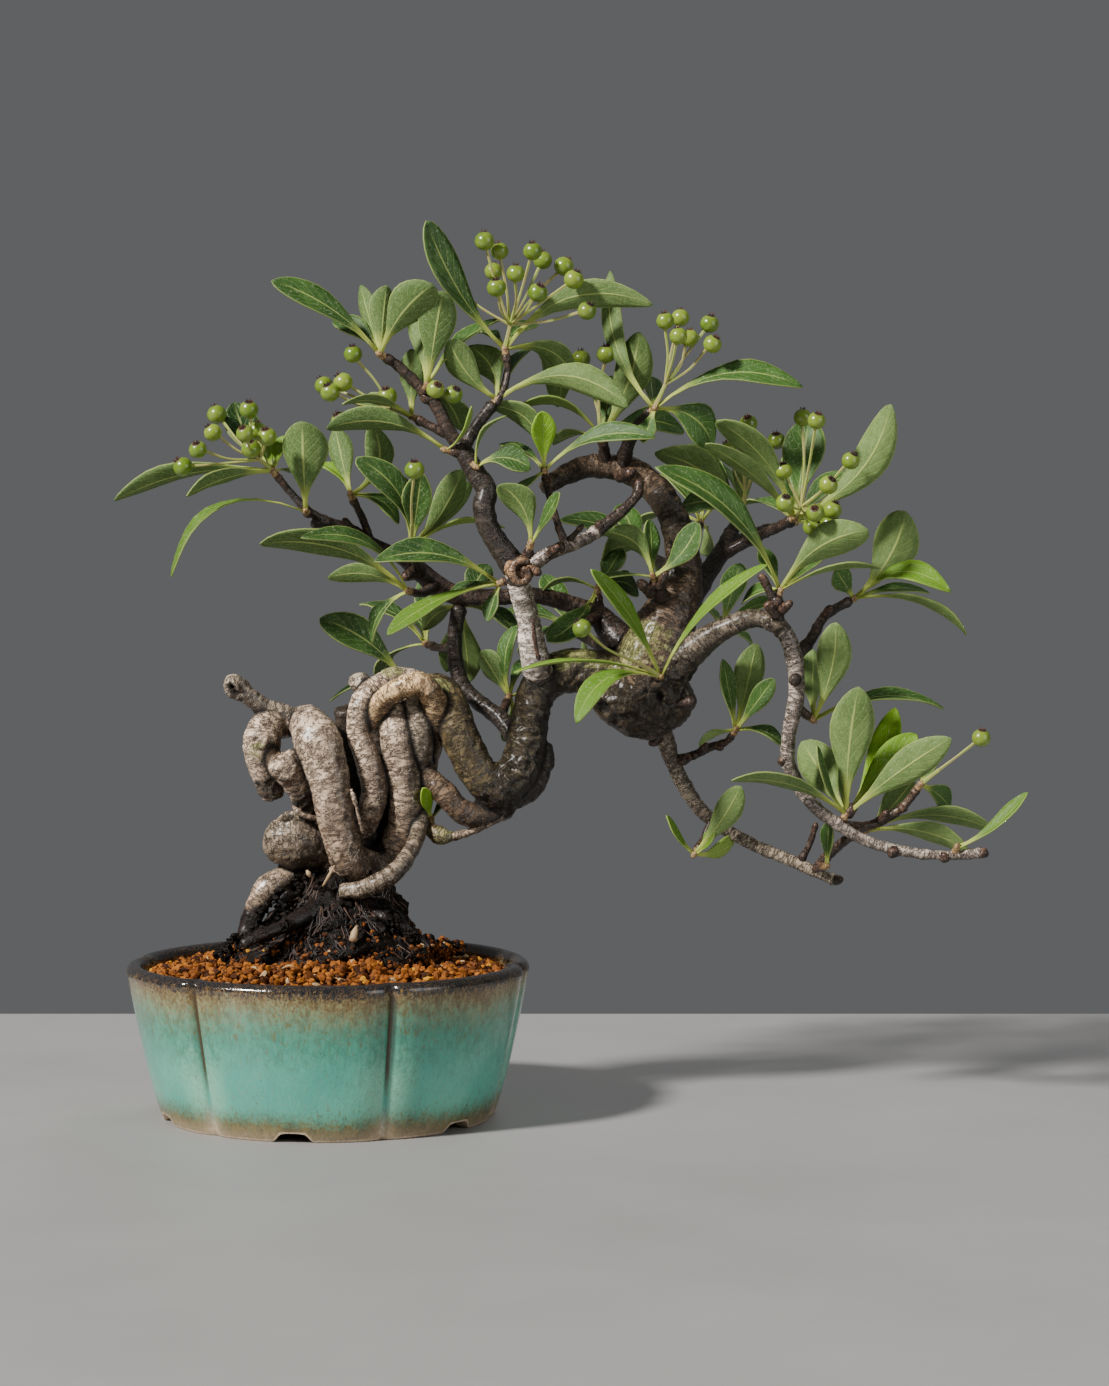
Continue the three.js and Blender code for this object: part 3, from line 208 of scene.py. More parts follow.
class Shade:
    """An output of a material's nodes, so that its colour maths reads as plain sums."""

    def __init__(self, tree, socket=None):
        self.tree = tree
        self.socket = socket

    def node(self, kind, settings=None, inputs=None, output=0):
        """Adds a node: its settings first, then a value or a link for each socket."""
        made = self.tree.nodes.new("ShaderNode" + kind)
        for name, value in (settings or {}).items():
            setattr(made, name, value)
        for name, value in (inputs or {}).items():
            if isinstance(value, Shade):
                self.tree.links.new(value.socket, made.inputs[name])
            else:
                made.inputs[name].default_value = value
        return Shade(self.tree, made.outputs[output])

    def sum(self, operation, first, second=0.0):
        """The result of a sum on two values."""
        return self.node("Math", {"operation": operation}, {0: first, 1: second})

    def __add__(self, other):
        return self.sum("ADD", self, other)

    def __radd__(self, other):
        return self.sum("ADD", other, self)

    def __sub__(self, other):
        return self.sum("SUBTRACT", self, other)

    def __rsub__(self, other):
        return self.sum("SUBTRACT", other, self)

    def __mul__(self, other):
        return self.sum("MULTIPLY", self, other)

    def __rmul__(self, other):
        return self.sum("MULTIPLY", other, self)

    def __truediv__(self, other):
        return self.sum("DIVIDE", self, other)

    def __pow__(self, other):
        return self.sum("POWER", self, other)

    def larger(self, other):
        return self.sum("MAXIMUM", self, other)

    def size(self):
        return self.sum("ABSOLUTE", self)

    def wave(self):
        return self.sum("SINE", self)

    def rise(self, low, high):
        """0 where this is below low and 1 above high. Turned round, it falls."""
        limits = {"Value": self, "From Min": min(low, high), "From Max": max(low, high)}
        if low > high:
            limits.update({"To Min": 1.0, "To Max": 0.0})
        return self.node("MapRange", {"interpolation_type": "SMOOTHSTEP"}, limits)

    def axis(self, index):
        return self.node("SeparateXYZ", {}, {0: self}, index)

    def scaled(self, x, y, z):
        return self.node("VectorMath", {"operation": "MULTIPLY"}, {0: self, 1: (x, y, z)})

    def cloud(self, scale, detail=3.0, roughness=0.55):
        """Noise between about 0.25 and 0.75, its scale in waves a metre or a unit of this vector."""
        inputs = {"Vector": self, "Scale": scale, "Detail": detail, "Roughness": roughness}
        return self.node("TexNoise", {}, inputs, "Fac")

    def cells(self, scale):
        """How far a point is from the middle of its cell."""
        return self.node("TexVoronoi", {}, {"Vector": self, "Scale": scale}, "Distance")

    def between(self, first, second):
        """The colour that lies this share of the way from the first to the second."""
        return self.node("Mix", {"data_type": "RGBA"}, {0: self, 6: first, 7: second}, 2)

    def tinted(self, colour):
        """This colour multiplied by another."""
        settings = {"data_type": "RGBA", "blend_type": "MULTIPLY"}
        return self.node("Mix", settings, {0: 1.0, 6: self, 7: colour}, 2)


def srgb(red, green, blue):
    """A colour given as the eye reads it, 0 to 255, as the shader wants it."""
    colour = Color((red / 255, green / 255, blue / 255)).from_srgb_to_scene_linear()
    return (*colour, 1.0)


class Finish:
    """A material under way: where a point lies, and what the shader takes. What is fixed is set at once."""

    def __init__(self, name, **fixed):
        self.material = bpy.data.materials.new(name)
        self.material.use_nodes = True
        self.tree = self.material.node_tree
        self.shader = self.tree.nodes["Principled BSDF"]
        for socket, value in fixed.items():
            self.shader.inputs[socket.replace("_", " ")].default_value = value
        self.start = Shade(self.tree)
        self.place = self.start.node("TexCoord", {}, {}, "Object")

    def attribute(self, name, output="Fac"):
        return self.start.node("Attribute", {"attribute_name": name}, {}, output)

    def done(self, colour, roughness=None, relief=None, depth=0.0005, strength=1.0, coat=None):
        """Links what varies to the shader. The relief is a height between 0 and 1, and depth its size."""
        self.tree.links.new(colour.socket, self.shader.inputs["Base Color"])
        if roughness is not None:
            self.tree.links.new(roughness.socket, self.shader.inputs["Roughness"])
        if coat is not None:
            self.tree.links.new(coat.socket, self.shader.inputs["Coat Weight"])
        if relief is not None:
            bump = self.start.node("Bump", {}, {"Height": relief, "Distance": depth, "Strength": strength})
            self.tree.links.new(bump.socket, self.shader.inputs["Normal"])
        return self.material


def glaze_finish():
    """The glaze, by the height on the wall and the place in the lobe, with bare clay under the foot."""
    glaze = Finish("running_glaze", Coat_Roughness=0.06)
    from_axis = glaze.start.node("VectorMath", {"operation": "SUBTRACT"}, {0: glaze.place, 1: POT_AXIS})
    across, back, height = (from_axis.axis(i) for i in range(3))
    height = height / MM
    radius = (across * across + back * back) ** 0.5 / MM
    turn = (back.sum("ARCTAN2", back, across) - LOBE_CENTRE) * (LOBES / math.tau)
    share = (turn - turn.sum("ROUND", turn)).size() * 2
    # Streaks run down the wall, so they are stretched that way.
    streaks = from_axis.scaled(1, 1, 0.2).cloud(620, 4, 0.62)
    speckle = from_axis.cloud(1100, 4, 0.7)
    fibres = from_axis.scaled(1, 1, 0.3).cloud(1900, 3, 0.6)
    drift = from_axis.cloud(38, 2)
    mottle = from_axis.scaled(1, 1, 0.6).cloud(430, 5, 0.75)
    worms = (from_axis.scaled(1, 1, 0.7).cloud(560, 3, 0.6) - 0.5).size().rise(0.04, 0.0)
    level = height + (streaks - 0.5) * 7 + (speckle - 0.5) * 12 + (mottle - 0.5) * 14 + (drift - 0.5) * 10
    edge_level = height + (fibres - 0.5) * 7 + (speckle - 0.5) * 7 + (drift - 0.5) * 4
    groove = share.rise(0.962, 0.992)
    shoulder = share.rise(0.6, 0.92) * share.rise(0.99, 0.95)
    sea = drift.rise(0.35, 0.65).between(srgb(66, 158, 140), srgb(92, 176, 154))
    sea = (shoulder * 0.55).between(sea, srgb(142, 196, 168))
    sea = (fibres.rise(0.5, 0.72) * 0.35).between(sea, srgb(132, 158, 118))
    sea = (speckle.rise(0.42, 0.68) * 0.3).between(sea, srgb(84, 146, 128))
    sea = (mottle.rise(0.57, 0.68) * 0.4).between(sea, srgb(122, 134, 96))
    ochre = mottle.rise(0.35, 0.65).between(srgb(166, 134, 80), srgb(112, 88, 50))
    ochre = (worms * 0.5).between(ochre, srgb(86, 62, 34))
    deep_sea = mottle.rise(0.4, 0.6).between(srgb(72, 144, 122), srgb(60, 130, 110))
    colour = level.rise(15, 33).between(sea, deep_sea)
    colour = level.rise(28.5, 47).between(colour, ochre)
    marks = from_axis.scaled(1, 1, 0.4).cloud(820, 4, 0.7).rise(0.56, 0.64)
    marked = height.rise(15, 3) * 0.75 + height.rise(20, 34) * 0.6 + 0.14
    colour = (marks * marked).between(colour, srgb(104, 94, 50))
    foot = height + (speckle - 0.5) * 9 + (fibres - 0.5) * 5 + (drift - 0.5) * 3
    rust = mottle.rise(0.4, 0.6).between(srgb(112, 90, 34), srgb(76, 62, 24))
    colour = (foot.rise(10.5, 2.5) * 0.94).between(colour, rust)
    deep = groove * height.rise(9, 22)
    colour = (deep * 0.95).between(colour, srgb(68, 52, 28))
    colour = (groove * height.rise(16, 6) * 0.7).between(colour, srgb(52, 142, 138))
    singed = edge_level.rise(36.5, 43.5) * speckle.rise(0.42, 0.6)
    colour = (singed * 0.6).between(colour, srgb(74, 54, 34))
    dark = edge_level.rise(41.6, 44.2)
    lip = fibres.rise(0.45, 0.66).between(srgb(24, 26, 31), srgb(64, 56, 48))
    lip = (worms * edge_level.rise(46.5, 43) * 0.8).between(lip, srgb(142, 108, 62))
    colour = dark.between(colour, lip)
    pits = from_axis.cells(460).rise(0.1, 0.03)
    colour = (pits * 0.6).between(colour, srgb(66, 58, 40))
    inside = radius.rise(52, 48) * height.rise(12, 10)
    # The glaze was wiped off the foot's lower edge and off the edges of its notches.
    beside_notch = share * (POT_FOOT_RADIUS * math.pi / LOBES)
    notch_top = beside_notch.rise(NOTCH_HALF_WIDTH, NOTCH_HALF_TOP) * (NOTCH_HEIGHT - 0.35)
    wiped = (height - notch_top).rise(0.95, 0.7)
    bare = wiped.larger(inside.larger(radius.rise(46.2, 45.4) * height.rise(8.4, 8)))
    clay = fibres.rise(0.4, 0.6).between(srgb(206, 186, 160), srgb(180, 158, 130))
    colour = bare.between(colour, clay)
    roughness = bare * 0.55 + (1 - bare) * (0.2 + streaks.rise(0.4, 0.7) * 0.1 - dark * 0.09)
    relief = streaks * 0.35 + drift * 0.4 + fibres * 0.12 - pits * 0.3
    return glaze.done(colour, roughness, relief, 0.0006, 0.5, coat=height.rise(2, 12) * 0.35)


glaze = glaze_finish()
pot = make_piece("glazed_pot", pot_bm, glaze, ["pot"])
notches = make_piece("notch_cutter", notch_bm, glaze)
modify(pot, "BOOLEAN", operation="DIFFERENCE", solver="EXACT", object=notches)
modify(pot, "BEVEL", width=EDGE_WEAR * MM, segments=2, limit_method="ANGLE", angle_limit=math.radians(50))
pot.data.set_sharp_from_angle(angle=math.radians(60))
bpy.data.objects.remove(notches)

# The drain screen. A square of black plastic mesh that is laid over the drain hole before the pot is
# filled, so that no soil washes out. Its form is the CAD's own.
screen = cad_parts["drain_screen"]
plastic = Finish("screen_plastic", Roughness=0.6)
grain = plastic.place.cloud(2500, 2)
plastic.done(grain.between(srgb(24, 25, 27), srgb(46, 48, 50)), None, grain, 0.0001)
screen.data.materials.clear()
screen.data.materials.append(plastic.material)

# The soil. Granules of fired clay, 2 to 4 mm, poured in to just under the lip and heaped towards the tree.
# They lie loose: below them is a dense bed, and the top layers are single granules of many warm browns.
SOIL_EDGE_RADIUS = 54.5
SOIL_EDGE_HEIGHT = 42
SOIL_RISE = 7
SOIL_RINGS = 18
SOIL_SIDES = 120
LOOSE_DEPTH = 1.2
GRANULES = 3300
GRANULE_SIZES = (0.85, 1.75)
# The bed shows between the granules in their darkest brown, which also paints the shade in the gaps. The
# palest have the highest numbers.
SHADED_BED_NUMBER = 0.02
PALE_FROM = 0.96
chance = random.Random(7)


def soil_height(radius):
    """How high the soil stands at a distance from the pot's axis."""
    return SOIL_EDGE_HEIGHT + SOIL_RISE * (1 - (radius / SOIL_EDGE_RADIUS) ** 2)


def copies_of(bm, count):
    """Repeats what a bmesh holds until there are that many copies, and returns each copy's vertices."""
    size = (len(bm.verts), len(bm.edges), len(bm.faces))
    made = 1
    while made < count:
        more = min(made, count - made)
        bm.verts.ensure_lookup_table()
        bm.edges.ensure_lookup_table()
        bm.faces.ensure_lookup_table()
        geometry_now = [*bm.verts[:size[0] * more], *bm.edges[:size[1] * more], *bm.faces[:size[2] * more]]
        bmesh.ops.duplicate(bm, geom=geometry_now)
        made += more
    bm.verts.ensure_lookup_table()
    return [bm.verts[i * size[0]:(i + 1) * size[0]] for i in range(count)]


def strew(bm, count, spot, sizes):
    """Adds lumps of random form, each with a number of its own. The spot gives each its place."""
    bmesh.ops.create_icosphere(bm, subdivisions=1, radius=1)
    number_layer = bm.verts.layers.float.new("number")
    for lump in copies_of(bm, count):
        place_at, share = spot()
        size = sizes[0] + (sizes[1] - sizes[0]) * chance.random() ** 1.6 * share
        turn = Matrix.Rotation(chance.uniform(0, math.tau), 3, Vector([chance.gauss(0, 1) for _ in range(3)]))
        stretch = Vector((chance.uniform(0.85, 1.35), chance.uniform(0.6, 1.1), chance.uniform(0.5, 0.9)))
        number = chance.random()
        for vert in lump:
            form = vert.co * chance.uniform(0.74, 1.18)
            vert.co = place_at + turn @ (form * stretch * size)
            vert[number_layer] = number


def on_the_bed():
    """A spot on the soil, and how large a granule may be there."""
    while True:
        radius = SOIL_EDGE_RADIUS * math.sqrt(chance.uniform(0.09, 1))
        angle = chance.uniform(-math.pi, math.pi)
        edge = (SOIL_EDGE_RADIUS + 0.4) * pinch(lobe_share(angle), POT_HEIGHT)
        if radius < edge - 1:
            break
    height = soil_height(radius) + chance.uniform(-0.9, 1.3) + 0.5 * math.sin(angle * 3 + radius * 0.2)
    return Vector((radius * math.cos(angle), radius * math.sin(angle), height)), 1


def granule_finish():
    """Each granule has a brown of its own, from umber to orange, with a few pale and yellow ones."""
    clay = Finish("fired_clay_granules", Specular_IOR_Level=0.25)
    number = clay.attribute("number")
    grit = clay.place.cloud(1400, 3, 0.65)
    colour = number.rise(0.0, 0.55).between(srgb(58, 30, 10), srgb(138, 80, 25))
    colour = number.rise(0.5, 0.9).between(colour, srgb(172, 106, 36))
    colour = number.rise(0.965, 0.975).between(colour, srgb(204, 176, 134))
    colour = number.rise(0.988, 0.992).between(colour, srgb(206, 150, 40))
    colour = (grit.rise(0.38, 0.62) * 0.55).between(colour, colour.tinted(srgb(160, 124, 84)))
    return clay.done(colour, 0.9 - grit * 0.25, grit, 0.0003, 0.8)


granule_clay = granule_finish()
bed_bm = bmesh.new()
rings = [SOIL_EDGE_RADIUS * (1 - i / SOIL_RINGS) for i in range(SOIL_RINGS + 1)]
lathe(bed_bm, [
    (0, POT_FLOOR_TOP + 0.3), (43.4, POT_FLOOR_TOP + 0.3), (46.8, 11.3),
    *[(ring, soil_height(ring) - LOOSE_DEPTH) for ring in rings],
], SOIL_SIDES, closed=False)
press_lobes(bed_bm)
# The bed takes the darkest brown, which paints the shade between the granules.
number_layer = bed_bm.verts.layers.float.new("number")
for vert in bed_bm.verts:
    vert[number_layer] = SHADED_BED_NUMBER
    if vert.co.z > SOIL_EDGE_HEIGHT - 1:
        vert.co.z += 0.8 * noise.noise(vert.co * 0.4)
make_piece("soil_bed", bed_bm, granule_clay, ["soil"])
granule_bm = bmesh.new()
strew(granule_bm, GRANULES, on_the_bed, GRANULE_SIZES)
make_piece("soil_granules", granule_bm, granule_clay, sharp=35)

# The root mass. Old humus, black and damp, that fine roots hold in a heap under the knot. Granules have
# stuck in its skirt, and hair roots lie on it and hang from its edges.
MASS_FOOT = 30
MASS_TOP = 74
MASS_LEAN = 0.12
MASS_DEPTH_SHARE = 0.86
MASS_SLOPE = [(24, MASS_FOOT), (31, 40), (28, 51), (20, 59), (14.5, 66), (11, MASS_TOP - 2), (0, MASS_TOP)]
MASS_STEPS = 30
MASS_SIDES = 90
CRUMBS = 3600
CRUMB_SIZES = (0.35, 1.6)
SKIRT_GRANULES = 980
SKIRT_SIZES = (0.5, 1.5)
SKIRT_STAIN = 0.6
# The tree is laid out in a front view seen from EYE, in millimetres from the foot of the pot's axis. A
# place is (across, down, back): across and down are steps of VIEW_STEP on the upright plane through that
# axis, from the view's top left corner, and back is how far it lies behind that plane along the sight line.
EYE = Vector((68, -967, 170))
VIEW_STEP = 0.3
POT_AXIS_AT = (328, 1113)


def place(station):
    """The point in millimetres of a place in the view."""
    across, down, back = station[:3]
    on_plane = Vector(((across - POT_AXIS_AT[0]) * VIEW_STEP, 0, (POT_AXIS_AT[1] - down) * VIEW_STEP))
    return EYE + (on_plane - EYE) * (back - EYE.y) / -EYE.y


def mass_radius(height):
    """The root mass's mean radius at a height, between the points of its slope."""
    for (r0, z0), (r1, z1) in zip(MASS_SLOPE, MASS_SLOPE[1:]):
        if z0 <= height <= z1:
            return r0 + (r1 - r0) * (height - z0) / (z1 - z0)
    return 0


def mass_point(angle, height, out=0.0):
    """A point on the root mass, or a little out from it."""
    lump = 1 + 0.09 * math.sin(3 * angle + height * 0.2) + 0.05 * math.sin(7 * angle - height * 0.5)
    radius = mass_radius(height) * lump + out
    x = radius * math.cos(angle) + max(0, height - MASS_FOOT) * MASS_LEAN
    return Vector((x, radius * math.sin(angle) * MASS_DEPTH_SHARE, height))


# Humus packed under the root on the left, and over the roots in front: places and radii of the lumps.
PACKED = [
    ((304, 876, -3), 3.6), ((288, 896, -5), 5), ((276, 918, -8), 6.4), ((268, 944, -9), 7),
    ((358, 872, 3), 10.4), ((353, 886, 2), 11.4), ((346, 912, 1), 11.4), ((340, 936, 0), 11.4),
    ((320, 902, -8), 3.6), ((302, 914, -14), 3), ((384, 912, -9), 3), ((404, 930, -11), 2.4),
    ((285, 924, -20), 2), ((262, 934, -22), 1.8), ((330, 898, -9), 3.4), ((392, 922, -13), 2.2),
    ((412, 934, -13), 2), ((238, 946, -10), 4.2), ((224, 954, -6), 3), ((424, 944, -10), 3),
    ((442, 946, -6), 2.4), ((456, 946, 0), 2),
]


# Where grains lie: how many of them on the lumps, on which ones and how far out, and on the slope at which
# heights, the lowest, the highest and the commonest, and how far out. The shares are of the full size.
# Crumbs gather low down and on the lumps, granules in the skirt and on the three lumps at the right foot.
CRUMBS_LIE = {
    "on_lumps": 0.45, "lumps": PACKED, "reach": (0.8, 1.05), "lump_share": 1,
    "heights": (46, MASS_TOP - 1, 50), "out": (-0.8, 0.5), "share": 1,
}
GRANULES_LIE = {
    "on_lumps": 0.16, "lumps": PACKED[-3:], "reach": (0.95, 1.1), "lump_share": 0.8,
    "heights": (44.4, 60, 45.6), "out": (0, 1.2), "share": 0.6,
}


def on_the_mass(on_lumps, lumps, reach, lump_share, heights, out, share):
    """A spot on one of the lumps or on the slope, and how large a grain may be there."""
    if chance.random() < on_lumps:
        spot, radius = chance.choice(lumps)
        outwards = Vector([chance.gauss(0, 1) for _ in range(3)]).normalized()
        return place(spot) + outwards * radius * chance.uniform(*reach), lump_share
    height = chance.triangular(*heights)
    return mass_point(chance.uniform(-math.pi, math.pi), height, chance.uniform(*out)), share


def humus_finish():
    """Near black and damp, with red-brown threads and a dull shine."""
    humus = Finish("humus", Specular_IOR_Level=0.17)
    clods = humus.place.cloud(320, 4, 0.65)
    threads = humus.place.cloud(1500, 3, 0.6)
    colour = clods.rise(0.35, 0.65).between(srgb(4, 3, 2), srgb(17, 10, 6))
    colour = (threads.rise(0.56, 0.7) * 0.6).between(colour, srgb(50, 32, 18))
    return humus.done(colour, 0.12 + clods * 0.75, clods * 0.7 + threads * 0.3, 0.0016, 1.0)


humus = humus_finish()
mass_bm = bmesh.new()
levels = [MASS_FOOT + (MASS_TOP - MASS_FOOT) * i / MASS_STEPS for i in range(MASS_STEPS + 1)]
lathe(mass_bm, [(0, MASS_FOOT), *[(mass_radius(level), level) for level in levels]], MASS_SIDES, closed=False)
for vert in mass_bm.verts:
    if math.hypot(vert.co.x, vert.co.y) > 0.5:
        vert.co = mass_point(math.atan2(vert.co.y, vert.co.x), vert.co.z)
    else:
        vert.co.x += (vert.co.z - MASS_FOOT) * MASS_LEAN
    swell = noise.fractal(vert.co * 0.2, 0.8, 2.2, 4)
    vert.co += (vert.co - Vector((0, 0, 50))).normalized() * swell * 2.4
make_piece("root_mass_humus", mass_bm, humus, ["root_mass"])
crumb_bm = bmesh.new()
strew(crumb_bm, CRUMBS, lambda: on_the_mass(**CRUMBS_LIE), CRUMB_SIZES)
make_piece("humus_crumbs", crumb_bm, humus, sharp=35)
skirt_bm = bmesh.new()
strew(skirt_bm, SKIRT_GRANULES, lambda: on_the_mass(**GRANULES_LIE), SKIRT_SIZES)
number_layer = skirt_bm.verts.layers.float["number"]
for vert in skirt_bm.verts:
    if vert[number_layer] < PALE_FROM:
        vert[number_layer] *= SKIRT_STAIN
make_piece("skirt_granules", skirt_bm, granule_clay, sharp=35)


def smooth_path(stations, step):
    """(point, radius) pairs about a step apart, on a smooth curve through a limb's stations."""
    points = [station[0] if isinstance(station[0], Vector) else place(station) for station in stations]
    radii = [station[-1] for station in stations]
    ends = [points[0] * 2 - points[1], *points, points[-1] * 2 - points[-2]]
    path = []
    for i, (p0, p1, p2, p3) in enumerate(zip(ends, ends[1:], ends[2:], ends[3:])):
        t0, t1, t2 = (math.sqrt(max((b - a).length, 1e-3)) for a, b in ((p0, p1), (p1, p2), (p2, p3)))
        leave = ((p1 - p0) / t0 - (p2 - p0) / (t0 + t1) + (p2 - p1) / t1) * t1
        arrive = ((p2 - p1) / t1 - (p3 - p1) / (t1 + t2) + (p3 - p2) / t2) * t1
        pieces = max(1, round((p2 - p1).length / step))
        curve = geometry.interpolate_bezier(p1, p1 + leave / 3, p2 - arrive / 3, p2, pieces + 1)
        for k, point in enumerate(curve[:-1] if i < len(points) - 2 else curve):
            path.append((point, radii[i] + (radii[i + 1] - radii[i]) * k / pieces))
    return path


def rings_along(stations, step):
    """Rings about a step apart through a limb's stations: the point, the radius, the length so far and the
    matrix that lays the ring there."""
    path = smooth_path(stations, step)
    side = Vector((0, 1, 0))
    length = 0.0
    rings = []
    for i, (point, radius) in enumerate(path):
        before, after = path[max(i - 1, 0)][0], path[min(i + 1, len(path) - 1)][0]
        along = (after - before).normalized()
        side = (side - along * side.dot(along)).normalized()
        if i:
            length += (point - path[i - 1][0]).length
        turn = Matrix((side, along.cross(side), along)).transposed()
        rings.append((point, radius, length, turn))
    return rings


def bmesh_with(*names):
    """An empty bmesh that keeps a number under each of these names at every vertex."""
    bm = bmesh.new()
    for name in names:
        bm.verts.layers.float.new(name)
    return bm


def gather(bm, part):
    """Moves what a small bmesh holds into a larger one."""
    mesh = mesh_of("part", part)
    bm.from_mesh(mesh)
    bpy.data.meshes.remove(mesh)


def lay_tube(bm, rings, sides, mark=None):
    """Adds a closed tube: a cylinder cut across once for each ring, with each cut then laid on its ring.
    It calls mark, where there is one, for each vertex, with its place in its ring and its length along the
    tube."""
    steps = len(rings) - 1
    tube = bmesh.new()
    for kind in ("float", "float_color", "float_vector"):
        for name in getattr(bm.verts.layers, kind).keys():
            getattr(tube.verts.layers, kind).new(name)
    bmesh.ops.create_cone(tube, cap_ends=True, segments=sides, radius1=1, radius2=1, depth=1)
    long_edges = [e for e in tube.edges if abs(e.verts[0].co.z - e.verts[1].co.z) > 0.5]
    if steps > 1:
        bmesh.ops.subdivide_edges(tube, edges=long_edges, cuts=steps - 1, use_grid_fill=True)
    for vert in tube.verts:
        point, radius, length, turn = rings[round((vert.co.z + 0.5) * steps)]
        local = Vector((vert.co.x, vert.co.y, 0)) * radius
        vert.co = point + turn @ local
        if mark:
            mark(tube, vert, local, length)
    gather(bm, tube)


def marking(layer, value):
    """A mark for lay_tube that gives every vertex of a tube the same value."""
    def mark(tube, vert, local, length):
        vert[tube.verts.layers.float[layer]] = value
    return mark


# The hair roots. Thin, dark roots of the tree that wander down the heap and hold it together. A few have
# dried pale.
HAIR_ROOTS = 420
ROOT_STATIONS = 6


def root_finish():
    """Matt red-black to brown, by the number of the root, and straw where one is dry."""
    root = Finish("hair_roots", Roughness=0.6)
    number = root.attribute("number")
    colour = number.rise(0.2, 1.0).between(srgb(16, 10, 7), srgb(66, 42, 28))
    return root.done(number.rise(0.985, 0.99).between(colour, srgb(140, 112, 80)))


hair_bm = bmesh_with("number")
for _ in range(HAIR_ROOTS):
    angle = chance.uniform(-math.pi, math.pi)
    top = chance.uniform(52, MASS_TOP - 2)
    bottom = max(45, top - chance.uniform(5, 16))
    sweep = chance.uniform(-0.5, 0.5)
    wander = chance.uniform(0, 9)
    stations = []
    for k in range(ROOT_STATIONS):
        level = top + (bottom - top) * k / (ROOT_STATIONS - 1)
        out = 0.35 + 0.9 * abs(noise.noise(Vector((wander, k * 0.7, 0))))
        swing = angle + sweep * k / (ROOT_STATIONS - 1) + 0.12 * noise.noise(Vector((wander, 0, k * 0.9)))
        stations.append((mass_point(swing, level, out), chance.uniform(0.12, 0.36)))
    lay_tube(hair_bm, rings_along(stations, 3), sides=4, mark=marking("number", chance.random()))
make_piece("hair_roots", hair_bm, root_finish())

# Dry bits. A pale pointed pebble, a straw and two curls of bark that fell on the soil, and two splinters that
# stand in the humus. A row is how grey it is and its stations, (across, down, back, radius).
DRY_BITS = [
    (0.3, [(320, 973, -37, 0.2), (332, 976, -38, 0.32), (346, 979, -38, 0.18)]),
    (0.7, [(452, 956, 3, 0.3), (462, 954, 4, 0.75), (474, 960, 3, 0.6), (479, 966, 1, 0.25)]),
    (0.6, [(281, 967, -36, 0.2), (288, 964, -37, 0.35), (294, 966, -37, 0.15)]),
    (0.9, [(306, 868, -13, 0.3), (308, 871, -13.4, 0.8), (309, 875, -13, 0.3)]),
    (0.8, [(322, 884, -14, 0.2), (328, 874, -15, 0.5), (334, 863, -15, 0.2)]),
    (1.0, [(352, 939, -25, 1.2), (354, 931, -25, 1.1), (356, 924, -24, 0.3)]),
]


def dry_finish():
    """Straw to grey-brown, with darker grain."""
    dry = Finish("dry_bits", Roughness=0.7)
    number = dry.attribute("number")
    grain = dry.place.cloud(1500, 3)
    colour = number.rise(0.3, 1.0).between(srgb(190, 152, 94), srgb(176, 152, 118))
    return dry.done((grain.rise(0.4, 0.6) * 0.5).between(colour, srgb(140, 106, 76)))


dry_bm = bmesh_with("number")
for tone, stations in DRY_BITS:
    lay_tube(dry_bm, rings_along(stations, 1), sides=7, mark=marking("number", tone))
make_piece("dry_bits", dry_bm, dry_finish())

# The wood. The tree grew as one piece: roots strangle each other in a knot under its trunk, which bends up
# to a mossy burl and arches over, and old branches run from it to reddish twigs. A limb is a bark and its
# stations, (across, down, back, radius), the radius in millimetres.
PALE = srgb(150, 133, 115)
STRAW = srgb(172, 144, 106)
GREY = srgb(124, 113, 98)
OLIVE = srgb(84, 73, 48)
MOSSY = srgb(92, 80, 56)
BROWN = srgb(98, 80, 62)
UMBER = srgb(34, 20, 16)
DUSK = srgb(60, 51, 44)
SILVER = srgb(130, 119, 110)
# A dark bark tone that paints the shade inside the knot.
PAINTED_SHADE_TONE = srgb(60, 50, 40)
# A paler copy of the silver bark for the front branch: painted light where the key light falls full on it.
FRONT_PAINTED_LIT = srgb(188, 178, 168)
KNURL = srgb(128, 100, 74)
GREEN_BARK = srgb(140, 146, 100)
WEATHERED = srgb(94, 84, 70)
RUSSET = srgb(88, 62, 46)
